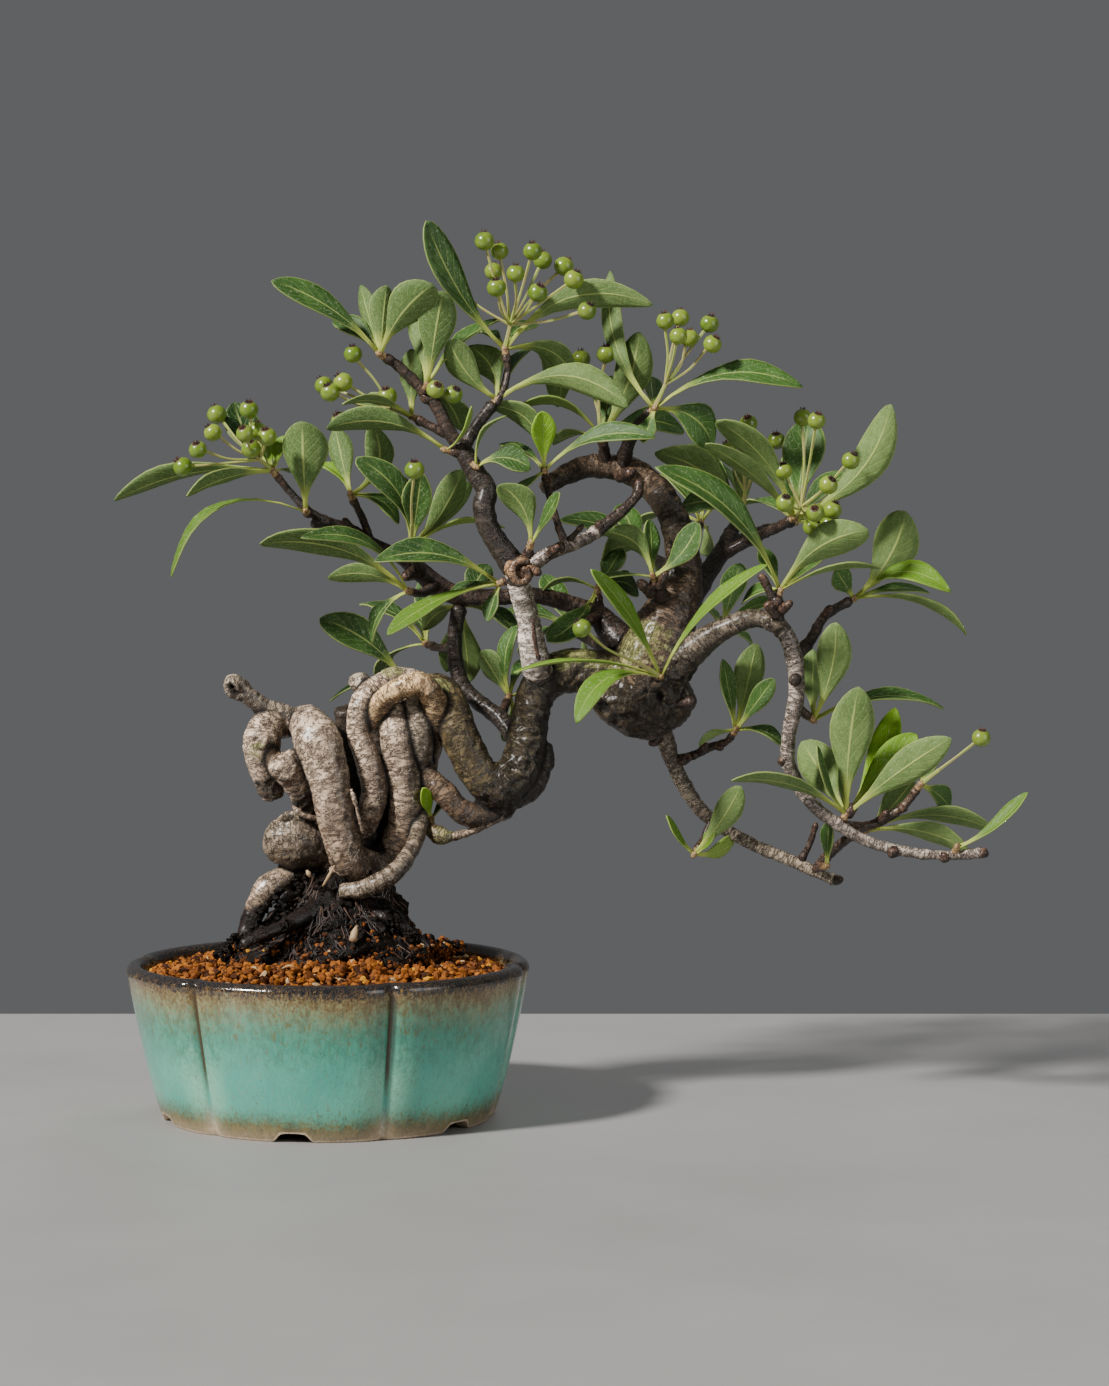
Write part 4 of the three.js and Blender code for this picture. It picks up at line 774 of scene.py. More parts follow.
# Old strands inside the knot, in its shade. Their dark tone is painted shade.
INNER = [
    (PAINTED_SHADE_TONE, [
        (346, 704, 9, 3.6), (352, 750, 12, 5.6), (360, 800, 12, 6.2), (372, 845, 9, 5.6), (380, 872, 6, 4)]),
    (PAINTED_SHADE_TONE, [
        (384, 702, 9, 4), (382, 745, 11, 5), (384, 790, 11, 5.4), (390, 832, 9, 4.6), (396, 852, 7, 3)]),
]
KNOT = [
    (PALE, [
        (299, 716, 8, 4.2), (309, 722, 0, 6), (318, 738, -8, 7.2), (327, 768, -10, 6.2),
        (340, 833, -9, 5.6), (350, 858, -7, 5.6), (364, 867, 0, 5.2), (386, 856, 4, 5.4),
        (402, 830, 3, 5.3), (406, 795, 0, 5.1), (402, 762, -2, 5.1), (396, 732, -3, 5.1),
        (397, 712, 0, 4.6), (404, 702, 8, 3.6)]),
    (PALE, [
        (438, 702, 4, 4), (425, 684, 4, 3.7), (400, 675, 3, 3.7), (378, 683, 0, 3.7),
        (362, 700, -3, 3.5), (358, 728, -4, 3.5), (368, 760, -5, 3.8), (374, 788, -4, 3.9),
        (368, 815, -2, 3.9), (358, 842, 2, 3.6)]),
    (STRAW, [
        (372, 722, -2, 2.5), (382, 699, -6, 3.2), (402, 685, -9, 3.4), (422, 681, -9, 3.5),
        (434, 696, -6, 3.7), (434, 722, -1, 3.9), (428, 752, 5, 3.7), (420, 790, 10, 3.6)]),
    (GREY, [
        (410, 690, 2, 3), (418, 712, -3, 3.8), (421, 738, -3, 3.8), (419, 765, 1, 3.4),
        (413, 792, 6, 3)]),
    (GREY, [
        (376, 692, 6, 3), (360, 680, 3, 3.5), (354, 677, 1, 2.6)]),
    (GREY, [
        (308, 722, 4, 4), (286, 712, 2, 3.2), (264, 704, 0, 2.8), (247, 691, -2, 3),
        (234, 682, -3, 3.5), (226, 680, -4, 2.6)]),
    (PALE, [
        (290, 722, 5, 4.2), (268, 722, 0, 5.2), (262, 740, -3, 5.8), (262, 758, -4, 4.7),
        (267, 778, -3, 4), (273, 794, -1, 3.5)]),
    (PALE, [
        (279, 756, -9, 4.6), (285, 763, -8, 5), (297, 780, -6, 4.4), (306, 798, -3, 3.8),
        (314, 818, 2, 3.8)]),
    (GREY, [
        (335, 846, 8, 6), (315, 842, 2, 8), (292, 838, -2, 8.9), (273, 838, -3, 6.4), (264, 838, -3, 3)]),
    (GREY, [
        (340, 889, -12, 2.5), (362, 887, -14, 2.9), (392, 872, -13, 2.9), (412, 846, -8, 2.6),
        (421, 815, 0, 2.3), (421, 785, 6, 2)]),
    (BROWN, [
        (419, 748, 3, 3.2), (427, 772, 0, 3.3), (444, 790, -2, 3.5), (460, 808, -2, 3.7),
        (478, 813, 0, 4), (505, 800, 3, 5)]),
]
ROOTS = [
    (UMBER, [
        (364, 846, 4, 8), (352, 884, 2, 11), (340, 940, 0, 11)]),
    (PALE, [
        (318, 866, 6, 3.8), (292, 873, 0, 3.7), (270, 884, -4, 3.9), (257, 902, -5, 3.5),
        (248, 925, -6, 3), (241, 948, -8, 2.4)]),
    (UMBER, [
        (336, 892, -4, 4), (310, 910, -13, 3), (280, 926, -20, 2.2), (258, 934, -23, 2),
        (240, 944, -25, 1.7)]),
    (UMBER, [
        (366, 905, -8, 3), (392, 922, -12, 2.2), (416, 936, -12, 1.8), (430, 948, -12, 1.6)]),
]
TRUNK = [
    (OLIVE, [
        (420, 690, 6, 5.6), (440, 691, 2, 5.8), (452, 712, -1, 5.7), (464, 742, -3, 5.6),
        (478, 770, -3, 5.8), (497, 785, -2, 6.4), (516, 770, -1, 6.4), (526, 742, 0, 6),
        (531, 710, 0, 5.7), (540, 683, 0, 6), (562, 669, 0, 6.7), (590, 669, 0, 7), (614, 676, 0, 8.6),
        (640, 685, 0, 9)]),
    (DUSK, [
        (503, 797, 0, 5), (530, 780, 2, 4.8), (543, 757, 2, 3.6), (545, 740, 1, 2.2)]),
    (MOSSY, [
        (602, 676, 0, 7.5), (620, 686, 0, 11), (645, 695, 0, 12.6), (668, 690, -1, 10.6),
        (687, 680, -2, 6.4)]),
    (BROWN, [
        (641, 734, 0, 4.5), (641, 722, 0, 8.6), (643, 698, 0, 12.2), (649, 665, -1, 11.6),
        (660, 635, -1, 10), (672, 608, 0, 8.2), (680, 585, 2, 7), (683, 562, 3, 5.6),
        (680, 538, 4, 4.7), (672, 512, 5, 4.5), (657, 488, 6, 4.4), (635, 470, 7, 4.3),
        (608, 463, 8, 4), (580, 466, 7, 3.4), (556, 477, 5, 2.8), (543, 487, 3, 2.2)]),
]
BRANCHES = [
    (FRONT_PAINTED_LIT, [
        (539, 668, -4, 4.8), (534, 650, -8, 4.2), (529, 620, -10, 3.4), (521, 588, -13, 3.4),
        (513, 562, -16, 3.2)]),
    (DUSK, [
        (519, 582, -14, 2.9), (513, 562, -16, 3.7), (499, 542, -18, 3.3), (488, 522, -19, 3.2),
        (484, 503, -19, 3.3), (487, 488, -18, 3.2), (476, 470, -17, 3), (466, 452, -16, 2.9),
        (459, 438, -15, 2.3)]),
    (DUSK, [
        (462, 446, -15, 2.3), (449, 428, -15, 2), (438, 405, -15, 1.9), (425, 390, -15, 1.7),
        (408, 372, -15, 1.6), (394, 360, -16, 1.4), (384, 354, -18, 1.1)]),
    (DUSK, [
        (462, 448, -15, 2.2), (474, 428, -14, 1.8), (487, 410, -13, 1.7), (495, 400, -13, 1.5)]),
    (KNURL, [
        (510, 565, -19, 2.5), (522, 568, -22, 3.1), (534, 569, -22, 2)]),
    (KNURL, [
        (530, 560, -24.6, 0.8), (521, 557, -25, 1.1), (513, 563, -25.2, 1.1), (513, 574, -25.4, 1.2),
        (521, 580, -25, 1.1), (529, 575, -25.2, 1), (527, 567, -25.6, 0.8), (521, 567, -25.6, 0.5)]),
    (KNURL, [
        (528, 563, -24, 1.3), (541, 571, -25.4, 0.9)]),
    (SILVER, [
        (511, 566, -17, 2.5), (530, 562, -20, 2.5), (550, 550, -21, 2), (585, 536, -20, 1.9),
        (600, 526, -19, 1.8)]),
    (DUSK, [
        (588, 534, -20, 1.6), (600, 526, -19, 1.9), (622, 508, -18, 1.6), (637, 492, -17, 1.4),
        (640, 476, -16, 1.1)]),
    (RUSSET, [
        (533, 614, -13.1, 0.3), (534, 630, -12.7, 0.6), (536, 645, -12, 0.7), (539, 658, -10.6, 0.4)]),
    (DUSK, [
        (632, 652, 4, 6), (612, 628, 8, 4.4), (598, 612, 11, 3.4), (576, 603, 13, 2.8),
        (540, 593, 15, 2.5), (490, 594, 17, 2.5), (458, 592, 18, 3), (436, 582, 18, 3.4),
        (418, 566, 16, 3), (398, 552, 12, 2), (376, 541, 8, 1.6), (352, 526, 4, 1.5),
        (326, 518, 0, 1.6), (308, 507, -4, 1.2), (290, 488, -7, 1.1), (276, 471, -9, 0.95)]),
    (DUSK, [
        (515, 734, 3, 3), (500, 715, 7, 2.6), (480, 700, 11, 2.4), (464, 684, 14, 2.4),
        (456, 660, 16, 2.4), (455, 632, 17, 2.3), (460, 602, 18, 2.4)]),
    (WEATHERED, [
        (668, 668, -4, 7), (686, 652, -6, 5), (704, 638, -8, 4.1), (728, 624, -11, 3.2),
        (755, 615, -13, 2.7), (778, 622, -15, 2.7), (786, 633, -15.4, 2.4)]),
    (SILVER, [
        (766, 618, -14, 2.3), (779, 623, -15, 2.5), (792, 645, -16, 2.5), (797, 690, -15, 2.4),
        (789, 735, -14, 2.1), (790, 764, -13, 2.1), (815, 803, -12, 2), (838, 821, -12, 1.8),
        (862, 836, -12, 1.7), (900, 848, -13, 1.6), (950, 853, -15, 1.4), (986, 850, -16, 1.5)]),
    (DUSK, [
        (793, 656, -15, 2), (810, 638, -9, 1.7), (824, 614, 0, 1.4), (840, 603, 5, 1.4),
        (851, 597, 7, 1.2)]),
    (BROWN, [
        (845, 823, -11, 1.6), (865, 824, -6, 1.5), (885, 817, -4, 1.4), (905, 803, -5, 1.3),
        (919, 785, -6, 1.1)]),
    (GREY, [
        (655, 712, 4, 6), (664, 732, 5, 2.9), (672, 756, 7, 2.4), (686, 785, 9, 2.3),
        (706, 812, 10, 2.1), (742, 836, 10, 1.9), (800, 862, 7, 1.8), (838, 879, 5, 1.5)]),
    (DUSK, [
        (690, 594, 4, 4), (706, 572, 10, 3), (722, 548, 18, 2.6), (732, 528, 24, 2.2),
        (740, 516, 26, 1.5)]),
    (DUSK, [
        (720, 552, 17, 2), (750, 537, 14, 1.7), (778, 524, 4, 1.5), (792, 516, -2, 1.2)]),
    (DUSK, [
        (724, 544, 19, 1.8), (760, 528, 36, 1.5), (793, 520, 50, 1.1)]),
    (DUSK, [
        (678, 577, 6, 2.6), (662, 560, 22, 1.8), (645, 550, 33, 1.2)]),
    (DUSK, [
        (684, 580, 8, 2.8), (690, 545, 34, 2), (700, 521, 51, 1.2)]),
    (DUSK, [
        (662, 660, 8, 3.4), (690, 640, 34, 2.2), (720, 626, 54, 1.3)]),
    (DUSK, [
        (625, 656, 8, 3.4), (600, 642, 34, 2), (575, 629, 52, 1.3)]),
    (PALE, [
        (503, 812, 0, 1.4), (478, 826, -1, 1.1), (458, 833, -1, 1.3), (450, 834, -1, 1.2)]),
    (PALE, [
        (292, 804, -8, 0.5), (302, 812, -9.4, 0.8), (312, 815, -9, 0.8), (323, 816, -5, 0.7)]),
    (PALE, [
        (351, 786, -13, 0.4), (355, 800, -13.4, 0.45), (359, 816, -12.6, 0.5), (364, 832, -10, 0.5)]),
    (GREEN_BARK, [
        (454, 833, -1, 1.2), (445, 834, -1, 2.5), (438, 832, 0, 3), (432, 827, 1, 2.2), (431, 820, 2, 0.9)]),
]
TWIGS = [
    [(496, 402, -13, 1.2), (505, 385, -13, 0.9), (508, 368, -12, 0.9), (506, 351, -12, 1.2)],
    [(452, 434, -15, 1.5), (432, 424, -14, 1.3), (416, 416, -13, 1.1)],
    [(463, 450, -16, 2), (454, 449, -17, 1.3), (450, 448, -17, 1)],
    [(467, 457, -16, 2), (474, 462, -19, 1.2)],
    [(425, 391, -15, 1.5), (427, 385, -18, 1.1)],
    [(655, 670, -6, 3), (660, 673, -14, 1.3)],
    [(566, 543, -20, 1.4), (557, 518, -19, 1.1), (551, 498, -17, 1.1), (547, 482, -14, 1.1),
        (545, 471, -12, 0.9)],
    [(566, 541, -20, 1), (583, 522, -26, 0.6)],
    [(522, 562, -20, 1.8), (528, 551, -21, 1.4), (530, 544, -22, 1)],
    [(605, 465, 8, 2.4), (604, 446, 3, 1.6), (602, 437, 0, 1.1)],
    [(622, 466, 7, 2.6), (628, 442, 0, 2), (640, 420, -8, 1.7), (652, 408, -13, 1.3)],
    [(330, 519, 0, 1.5), (312, 521, -3, 1.3)],
    [(372, 541, 8, 1.3), (364, 518, 6, 1.2), (353, 495, 3, 1)],
    [(420, 570, 14, 1.7), (415, 556, 5, 1.2), (412, 546, -2, 0.9)],
    [(436, 583, 17, 2), (420, 590, 5, 1.3), (410, 588, -3, 0.9)],
    [(516, 574, -14, 1.7), (503, 579, -13, 1.1)],
    [(458, 608, 18, 1.6), (461, 603, 25, 1)],
    [(456, 642, 17, 1.6), (441, 645, 30, 1.3), (427, 641, 41, 0.9)],
    [(414, 692, 6, 2.2), (407, 681, 13, 1.1)],
    [(500, 716, 8, 1.6), (508, 696, 13, 1)],
    [(778, 622, -15, 2.3), (776, 602, -16, 2.1), (779, 591, -16, 1.2)],
    [(775, 600, -16, 1.5), (766, 581, -18, 1.1), (760, 571, -19, 0.9)],
    [(797, 704, -14, 1.6), (807, 712, -13, 1.2), (811, 715, -12, 0.9)],
    [(790, 756, -13, 1.4), (779, 760, -14, 1)],
    [(794, 676, -17, 1.5), (797, 677, -20, 1.3)],
    [(838, 823, -12, 1.6), (845, 815, -12, 1.1)],
    [(955, 853, -15, 1.3), (957, 848, -16, 0.9)],
    [(676, 757, 7, 1.6), (692, 753, 5, 1.3), (712, 744, 3, 1.3), (728, 738, 2, 1),
        (734, 730, 2, 0.9)],
    [(712, 818, 9, 1.2), (704, 836, 7, 1), (697, 848, 5, 1)],
    [(815, 869, 6, 1.5), (834, 848, 2, 1.5), (852, 834, -2, 1.4), (864, 829, -4, 1)],
    [(815, 867, 6, 1.3), (822, 865, 1, 1.1), (826, 864, -2, 0.9)],
    [(800, 862, 7, 1.2), (812, 838, 6, 0.9), (817, 820, 5, 0.7)],
    [(600, 616, 11, 2), (599, 599, 13, 1.3), (598, 590, 14, 0.9)],
    [(665, 702, -6, 1.8), (695, 698, -12, 1.2)],
    [(668, 602, -3, 3.2), (658, 586, -9, 2), (654, 576, -12, 1.1)],
    [(309, 512, -3, 1.1), (307, 509, -7, 0.9)],
    [(777, 612, -18, 1.8), (769, 603, -20, 1.3), (765, 599, -20, 0.9)],
    [(781, 608, -19, 1.6), (789, 601, -21, 1), (792, 598, -21, 0.8)],
    [(652, 590, -10, 2), (643, 582, -13, 1.4), (638, 578, -14, 1)],
    [(660, 584, -11, 1.8), (664, 574, -14, 1.1), (666, 569, -15, 0.9)],
    [(700, 750, 3, 1.3), (705, 744, 1, 1), (708, 741, 0, 0.8)],
    [(690, 754, 4, 1.3), (684, 758, 2, 1.1), (680, 761, 1, 0.8)],
    [(716, 742, 3, 1.2), (723, 746, 1, 0.8)],
    [(661, 733, 4, 2), (654, 739, 2, 1.3), (650, 741, 1, 0.9)],
    [(836, 878, 5, 1.5), (843, 877, 3, 1.1)],
    [(880, 818, -5, 1.4), (886, 812, -7, 1), (889, 808, -8, 0.8)],
    [(900, 806, -5, 1.4), (908, 806, -6, 1)],
    [(848, 812, -11, 1.8), (853, 806, -12, 1.3), (856, 801, -12, 0.9)],
    [(984, 850, -16, 1.7), (989, 853, -17, 1)],
    [(947, 853, -15, 1.6), (944, 859, -16, 1)],
    [(895, 847, -13, 1.7), (893, 854, -15, 1)],
    [(418, 568, 15, 2.8), (408, 572, 8, 1.6), (404, 574, 6, 1)],
    [(430, 396, -15, 1.9), (421, 394, -16, 1.1)],
    [(548, 552, -21, 1.8), (556, 546, -24, 1), (558, 543, -25, 0.8)],
    [(600, 526, -19, 1.6), (598, 519, -21, 0.9)],
    [(560, 547, -21, 1.7), (562, 540, -23, 0.9)],
    [(551, 498, -17, 1.2), (557, 497, -18, 0.8)],
    [(620, 472, 6, 2.6), (630, 470, 2, 1.6), (634, 466, 1, 1)],
    [(602, 612, 10, 2.6), (590, 617, 4, 1.5), (586, 618, 2, 0.9)],
    [(350, 525, 3, 1.6), (346, 519, 2, 1), (344, 516, 1, 0.8)],
    [(824, 614, 0, 1.5), (829, 606, -2, 1), (831, 603, -3, 0.8)],
]
OLD_STEP = 1.0
OLD_SIDES = 20
FUSE_STEP = 0.68
# Rounds of smoothing that the grown skin gets, and how many rings near a spot decide its bark.
SKIN_ROUNDS = 3
NEAREST_RINGS = 18
STAIN_LEVELS = (61, 66)


def laid(rows):
    """Rows that start with a place in the view, with the point in its stead."""
    return [(place(row[0]), *row[1:]) for row in rows]


# Hollows in the old wood: a place, how wide and how deep, where bark rolled round a wound.
HOLLOWS = laid([
    ((229, 684, -7), 1.9, 1.8), ((232, 688, -6.7), 1.9, 1.8), ((236, 693, -6.2), 1.8, 1.8),
    ((240, 698, -5.4), 1.5, 1.4), ((287, 811, -6), 2.8, 2.8), ((683, 663, -8.5), 3.2, 3.2),
    ((606, 704, -7), 2.6, 1.4), ((662, 694, -12), 1.8, 1.4),
])
# Wounds that healed flat, each with a ring of bark round it.
HEALED = laid([
    ((283, 765, -13.4), 3.6), ((630, 716, -11), 2.6), ((259, 738, -8.6), 2.0), ((646, 668, -12.5), 2.4),
])
# Where moss grows, and where the bark is dark and rough: a place and how far it reaches. Some dark spots
# are dark bark and some are painted shade, where leaves and strands shade the wood.
MOSS_SPOTS = laid([
    ((636, 640, -12), 9.5), ((660, 640, -12), 6), ((606, 668, -8), 5), ((560, 655, -4), 5),
    ((585, 655, -4), 4), ((258, 748, -8), 3), ((392, 665, 0), 4), ((440, 680, -4), 4),
])
DARK_AND_SHADED_SPOTS = laid([
    ((645, 712, -10), 13), ((612, 700, -8), 9), ((680, 680, -8), 9), ((672, 560, 0), 7),
    ((276, 798, -4), 3.6), ((516, 800, -4), 7), ((540, 765, 0), 6), ((266, 786, -5), 4.5),
    ((530, 722, -4), 9), ((486, 792, -8), 5), ((522, 750, -5), 8), ((512, 775, -6), 8),
    ((538, 700, -5), 7), ((560, 672, -6), 8), ((586, 672, -6), 7), ((304, 798, -7), 4.5),
    ((310, 812, -5), 4), ((666, 500, 2), 7), ((676, 530, 2), 7.5), ((580, 476, 5), 4.5),
    ((560, 480, 4), 4),
])
DARK_BARK_AND_SHADE = srgb(50, 42, 26)


def bark_height(grain):
    """How far bark stands up: broad swells, long ridges, cross wrinkles and flakes with torn edges."""
    swell = noise.noise(grain * 0.14)
    ridges = noise.noise(Vector((grain.x * 0.8, grain.y * 0.8, grain.z * 0.2)))
    wrinkles = 1 - abs(noise.noise(Vector((grain.x * 0.22, grain.y * 0.22, grain.z * 0.5)))) * 4
    flakes = noise.noise(Vector((grain.x * 0.35, grain.y * 0.35, grain.z * 0.4)) + Vector((7, 3, 1)))
    return 0.45 * swell + 0.12 * ridges - 0.2 * max(0, wrinkles) + 0.2 * ease(flakes, 0.02, 0.1)


def lay_bark(bm):
    """Gives a bmesh the layers that the bark's finish reads: its tone, grain, painted shade of creases and
    hollows with the marks of scars, and moss.
    """
    layers = bm.verts.layers
    return (layers.float_color.new("bark"), layers.float_vector.new("grain"), layers.float.new("painted_shade_and_scars"),
            layers.float.new("moss"))


def fused_skin(samples):
    """The limbs' tubes, grown together into one smooth skin."""
    rough_bm = bmesh.new()
    for _, rings in samples:
        lay_tube(rough_bm, rings, OLD_SIDES)
    rough = add_object("rough_wood", mesh_of("rough_wood", rough_bm))
    modify(rough, "REMESH", mode="VOXEL", voxel_size=FUSE_STEP)
    bm = bmesh.new()
    bm.from_mesh(rough.data)
    bpy.data.objects.remove(rough)
    for _ in range(SKIN_ROUNDS):
        bmesh.ops.smooth_vert(bm, verts=bm.verts, factor=0.5,
                              use_axis_x=True, use_axis_y=True, use_axis_z=True)
    return bm


def wounds_at(point):
    """How far the wounds round a point lift its bark, and how dark they make it: painted shade inside each
    hollow, and a dark line inside each healed rim.
    """
    lift = dark = 0
    for spot, width, depth in HOLLOWS:
        away = (point - spot).length / width
        if away < 1.7:
            lift += 0.5 * ease(away, 1.7, 1.2) * ease(away, 0.8, 1.1)
            lift -= depth * (1 - ease(away, 0.35, 1.05))
            dark = max(dark, 1 - ease(away, 0.6, 1.05))
    for spot, width in HEALED:
        away = (point - spot).length / width
        if away < 1.6:
            rim = ease(away, 0.75, 0.95) * (1 - ease(away, 1.05, 1.35))
            lift += 0.6 * rim - 0.35 * (1 - ease(away, 0.7, 0.95))
            dark = max(dark, 0.6 * ease(away, 0.8, 0.9) * (1 - ease(away, 0.94, 1.02)))
    return lift, dark


def fused_wood(limbs):
    """Grows the thick limbs together, and gives the surface its bark, the tones of its limbs, and painted
    shade in the creases where limbs meet.
    """
    samples = [(tone, rings_along(stations, OLD_STEP)) for tone, stations in limbs]
    bm = fused_skin(samples)
    ring_at = [(i, ring) for i, (_, rings) in enumerate(samples) for ring in rings]
    tree = kdtree.KDTree(len(ring_at))
    for index, (_, ring) in enumerate(ring_at):
        tree.insert(ring[0], index)
    tree.balance()
    bark, grain_layer, painted_shade_and_scars, moss = lay_bark(bm)
    bm.normal_update()
    for vert in bm.verts:
        nearest = {}
        for _, index, distance in tree.find_n(vert.co, NEAREST_RINGS):
            limb, ring = ring_at[index]
            gap = distance - ring[1]
            if limb not in nearest or gap < nearest[limb][0]:
                nearest[limb] = (gap, ring, limb)
        close = sorted(nearest.values(), key=lambda found: found[0])
        gap, (point, radius, length, turn), limb = close[0]
        outward = (vert.co - point).normalized()
        local = turn.transposed() @ (vert.co - point)
        grain = Vector((local.x + limb * 31, local.y, length + local.z))
        weights = [(1 / (max(found[0] - gap, 0) + 0.35) ** 2, samples[found[2]][0]) for found in close]
        total = sum(weight for weight, _ in weights)
        mixed = [sum(weight * tone[i] for weight, tone in weights) / total for i in range(3)]
        vert[moss] = max(1 - ease((vert.co - spot).length / reach, 0.6, 1.15) for spot, reach in MOSS_SPOTS)
        # Dark spots darken the tone and roughen the bark: in part dark bark, in part painted shade.
        rugged_and_shaded = max(1 - ease((vert.co - spot).length / reach, 0.6, 1.1) for spot, reach in DARK_AND_SHADED_SPOTS)
        mixed = [a + (b - a) * rugged_and_shaded * 0.8 for a, b in zip(mixed, DARK_BARK_AND_SHADE)]
        stain = 1 - ease(vert.co.z, *STAIN_LEVELS)
        vert[bark] = [*(a + (b - a) * stain for a, b in zip(mixed, UMBER)), 1]
        vert[grain_layer] = grain
        # Painted shade: the bark is darkened where it runs close to another limb.
        dark = 0
        for found in close[1:]:
            apart = 1 - ease(outward.dot((vert.co - found[1][0]).normalized()), 0.2, 0.75)
            dark = max(dark, (1 - ease(found[0] - gap, 0.2, 2.4)) * apart)
        lift = bark_height(grain) * min(1, radius / 4) * (1 - 0.6 * dark)
        lift += rugged_and_shaded * min(1, radius / 8) * 1.3 * (0.25 - abs(noise.noise(vert.co * 0.32)) * 1.6)
        wound_lift, wound_dark = wounds_at(vert.co)
        vert[painted_shade_and_scars] = max(dark, wound_dark)
        vert.co += vert.normal * (lift + wound_lift)
    return bm


def bark_finish(name):
    """Bark: soft patches, pale scuffs and fine fibres, wrinkles that run across the limb, torn hairs with
    their painted shadows, dark flecks, pores, painted light and shade by which way it faces, painted shade
    near black in creases and hollows, and moss on the burl."""
    bark = Finish(name, Specular_IOR_Level=0.4, Coat_Roughness=0.28)
    tone = bark.attribute("bark", "Color")
    grain = bark.attribute("grain", "Vector")
    painted_shade_and_scars, mossy = bark.attribute("painted_shade_and_scars"), bark.attribute("moss")
    patches = grain.scaled(1, 1, 0.6).cloud(0.12, 4, 0.6)
    fibres = grain.scaled(1, 1, 0.22).cloud(1.4, 4, 0.7)
    flecks = grain.scaled(0.6, 0.6, 1).cloud(0.6, 5, 0.75)
    scuffs = grain.scaled(0.5, 0.5, 1.1).cloud(0.36, 4, 0.62)
    across = grain.scaled(0.24, 0.24, 1).cloud(0.55, 4, 0.62)
    wrinkles = (across - 0.5).size().rise(0.046, 0.014) * patches.rise(0.32, 0.46)
    loops = grain.scaled(0.55, 0.55, 0.8).cloud(0.42, 4, 0.6)
    hairs = (loops - 0.5).size().rise(0.02, 0.006)
    shadows = (loops - 0.525).size().rise(0.024, 0.008)
    pores = grain.cells(0.55).rise(0.2, 0.1)
    # Painted light and shade: what faces up, left and to the front, towards the key light, is painted paler,
    # and what faces away is painted darker.
    up = bark.start.node("NewGeometry", {}, {}, "Normal")
    faces_key_light = up.axis(2) * 0.4 - up.axis(0) * 0.45 - up.axis(1) * 0.3
    light = tone.axis(0).rise(0.04, 0.26)
    painted_light = (faces_key_light + scuffs * 0.9).rise(0.44, 1.04) * (0.2 + light * 0.8)
    dim, clean = tone.tinted((0.52, 0.47, 0.42, 1)), tone.tinted((1.1, 1.05, 1.0, 1))
    colour = patches.rise(0.38, 0.6).between(dim, clean)
    # Painted shade on what faces away from the key light.
    colour = (faces_key_light + scuffs * 0.7).rise(0.6, 0.0).between(colour, colour.tinted((0.4, 0.35, 0.29, 1)))
    colour = (fibres.rise(0.45, 0.65) * 0.35).between(colour, colour.tinted((0.5, 0.46, 0.42, 1)))
    # Painted light on what faces the key light.
    colour = (painted_light * 0.92).between(colour, tone.tinted((2.6, 2.56, 2.52, 1)))
    colour = (scuffs.rise(0.52, 0.64) * 0.3).between(colour, tone.tinted((2.4, 2.35, 2.3, 1)))
    # The lowest wood over the pot is darker and browner towards the bottom.
    lowest_wood = bark.place.axis(2).rise(0.104, 0.082) * bark.place.axis(0).rise(0.05, 0.035)
    colour = (lowest_wood * (0.45 + patches * 0.5)).between(colour, colour.tinted((0.55, 0.48, 0.41, 1)))
    colour = (wrinkles * 0.85).between(colour, tone.tinted((0.24, 0.19, 0.15, 1)))
    colour = (shadows * 0.8).between(colour, tone.tinted((0.2, 0.16, 0.13, 1)))
    colour = (hairs * (0.24 + light * 0.6)).between(colour, tone.tinted((2.3, 2.25, 2.2, 1)))
    colour = (flecks.rise(0.61, 0.69) * 0.7).between(colour, tone.tinted((0.24, 0.19, 0.15, 1)))
    colour = (pores * 0.75).between(colour, srgb(44, 35, 28))
    growth = bark.place.cloud(420, 4, 0.7)
    moss = mossy.rise(0.1, 0.7) * (up.axis(2) * 0.3 - up.axis(0) * 0.2 + growth).rise(0.42, 0.66)
    tufts = fibres.rise(0.4, 0.6).between(srgb(78, 84, 34), srgb(168, 166, 104))
    colour = (moss * 0.8).between(colour, tufts)
    # Painted shade, near black, in the creases and hollows, with the dark marks of scars.
    colour = (painted_shade_and_scars * 0.95).between(colour, srgb(16, 12, 9))
    relief = scuffs * 0.3 + fibres * 0.3 + hairs * 0.35 + patches * 0.3
    relief = relief - wrinkles * 0.35 - shadows * 0.3 - flecks.rise(0.58, 0.68) * 0.25 - pores * 0.4
    roughness = 0.32 + fibres * 0.22 + patches * 0.1 + painted_shade_and_scars * 0.4 + moss * 0.4
    return bark.done(colour, roughness, relief, 0.0012, 1.0, coat=(0.22 + light * 0.3) * (1 - painted_shade_and_scars))


bark = bark_finish("bark")
# A branch's collar is part of the old wood: it swells round the branch's first steps.
COLLAR_STATIONS = 3
COLLAR_FROM_RADIUS = 2.5
collars = [
    (tone, stations[:COLLAR_STATIONS]) for tone, stations in BRANCHES if stations[0][3] > COLLAR_FROM_RADIUS
]
make_piece("old_wood", fused_wood(KNOT + ROOTS + TRUNK + INNER + collars), bark, ["wood"])

# The branches and twigs. They sprang from the old wood, thicken where buds sat, and each twig ends in a
# knobby, reddish spur.
BRANCH_STEP = 0.8
BRANCH_SIDES = 12
TWIG_SIDES = 9
TWIG_PHASE = 40
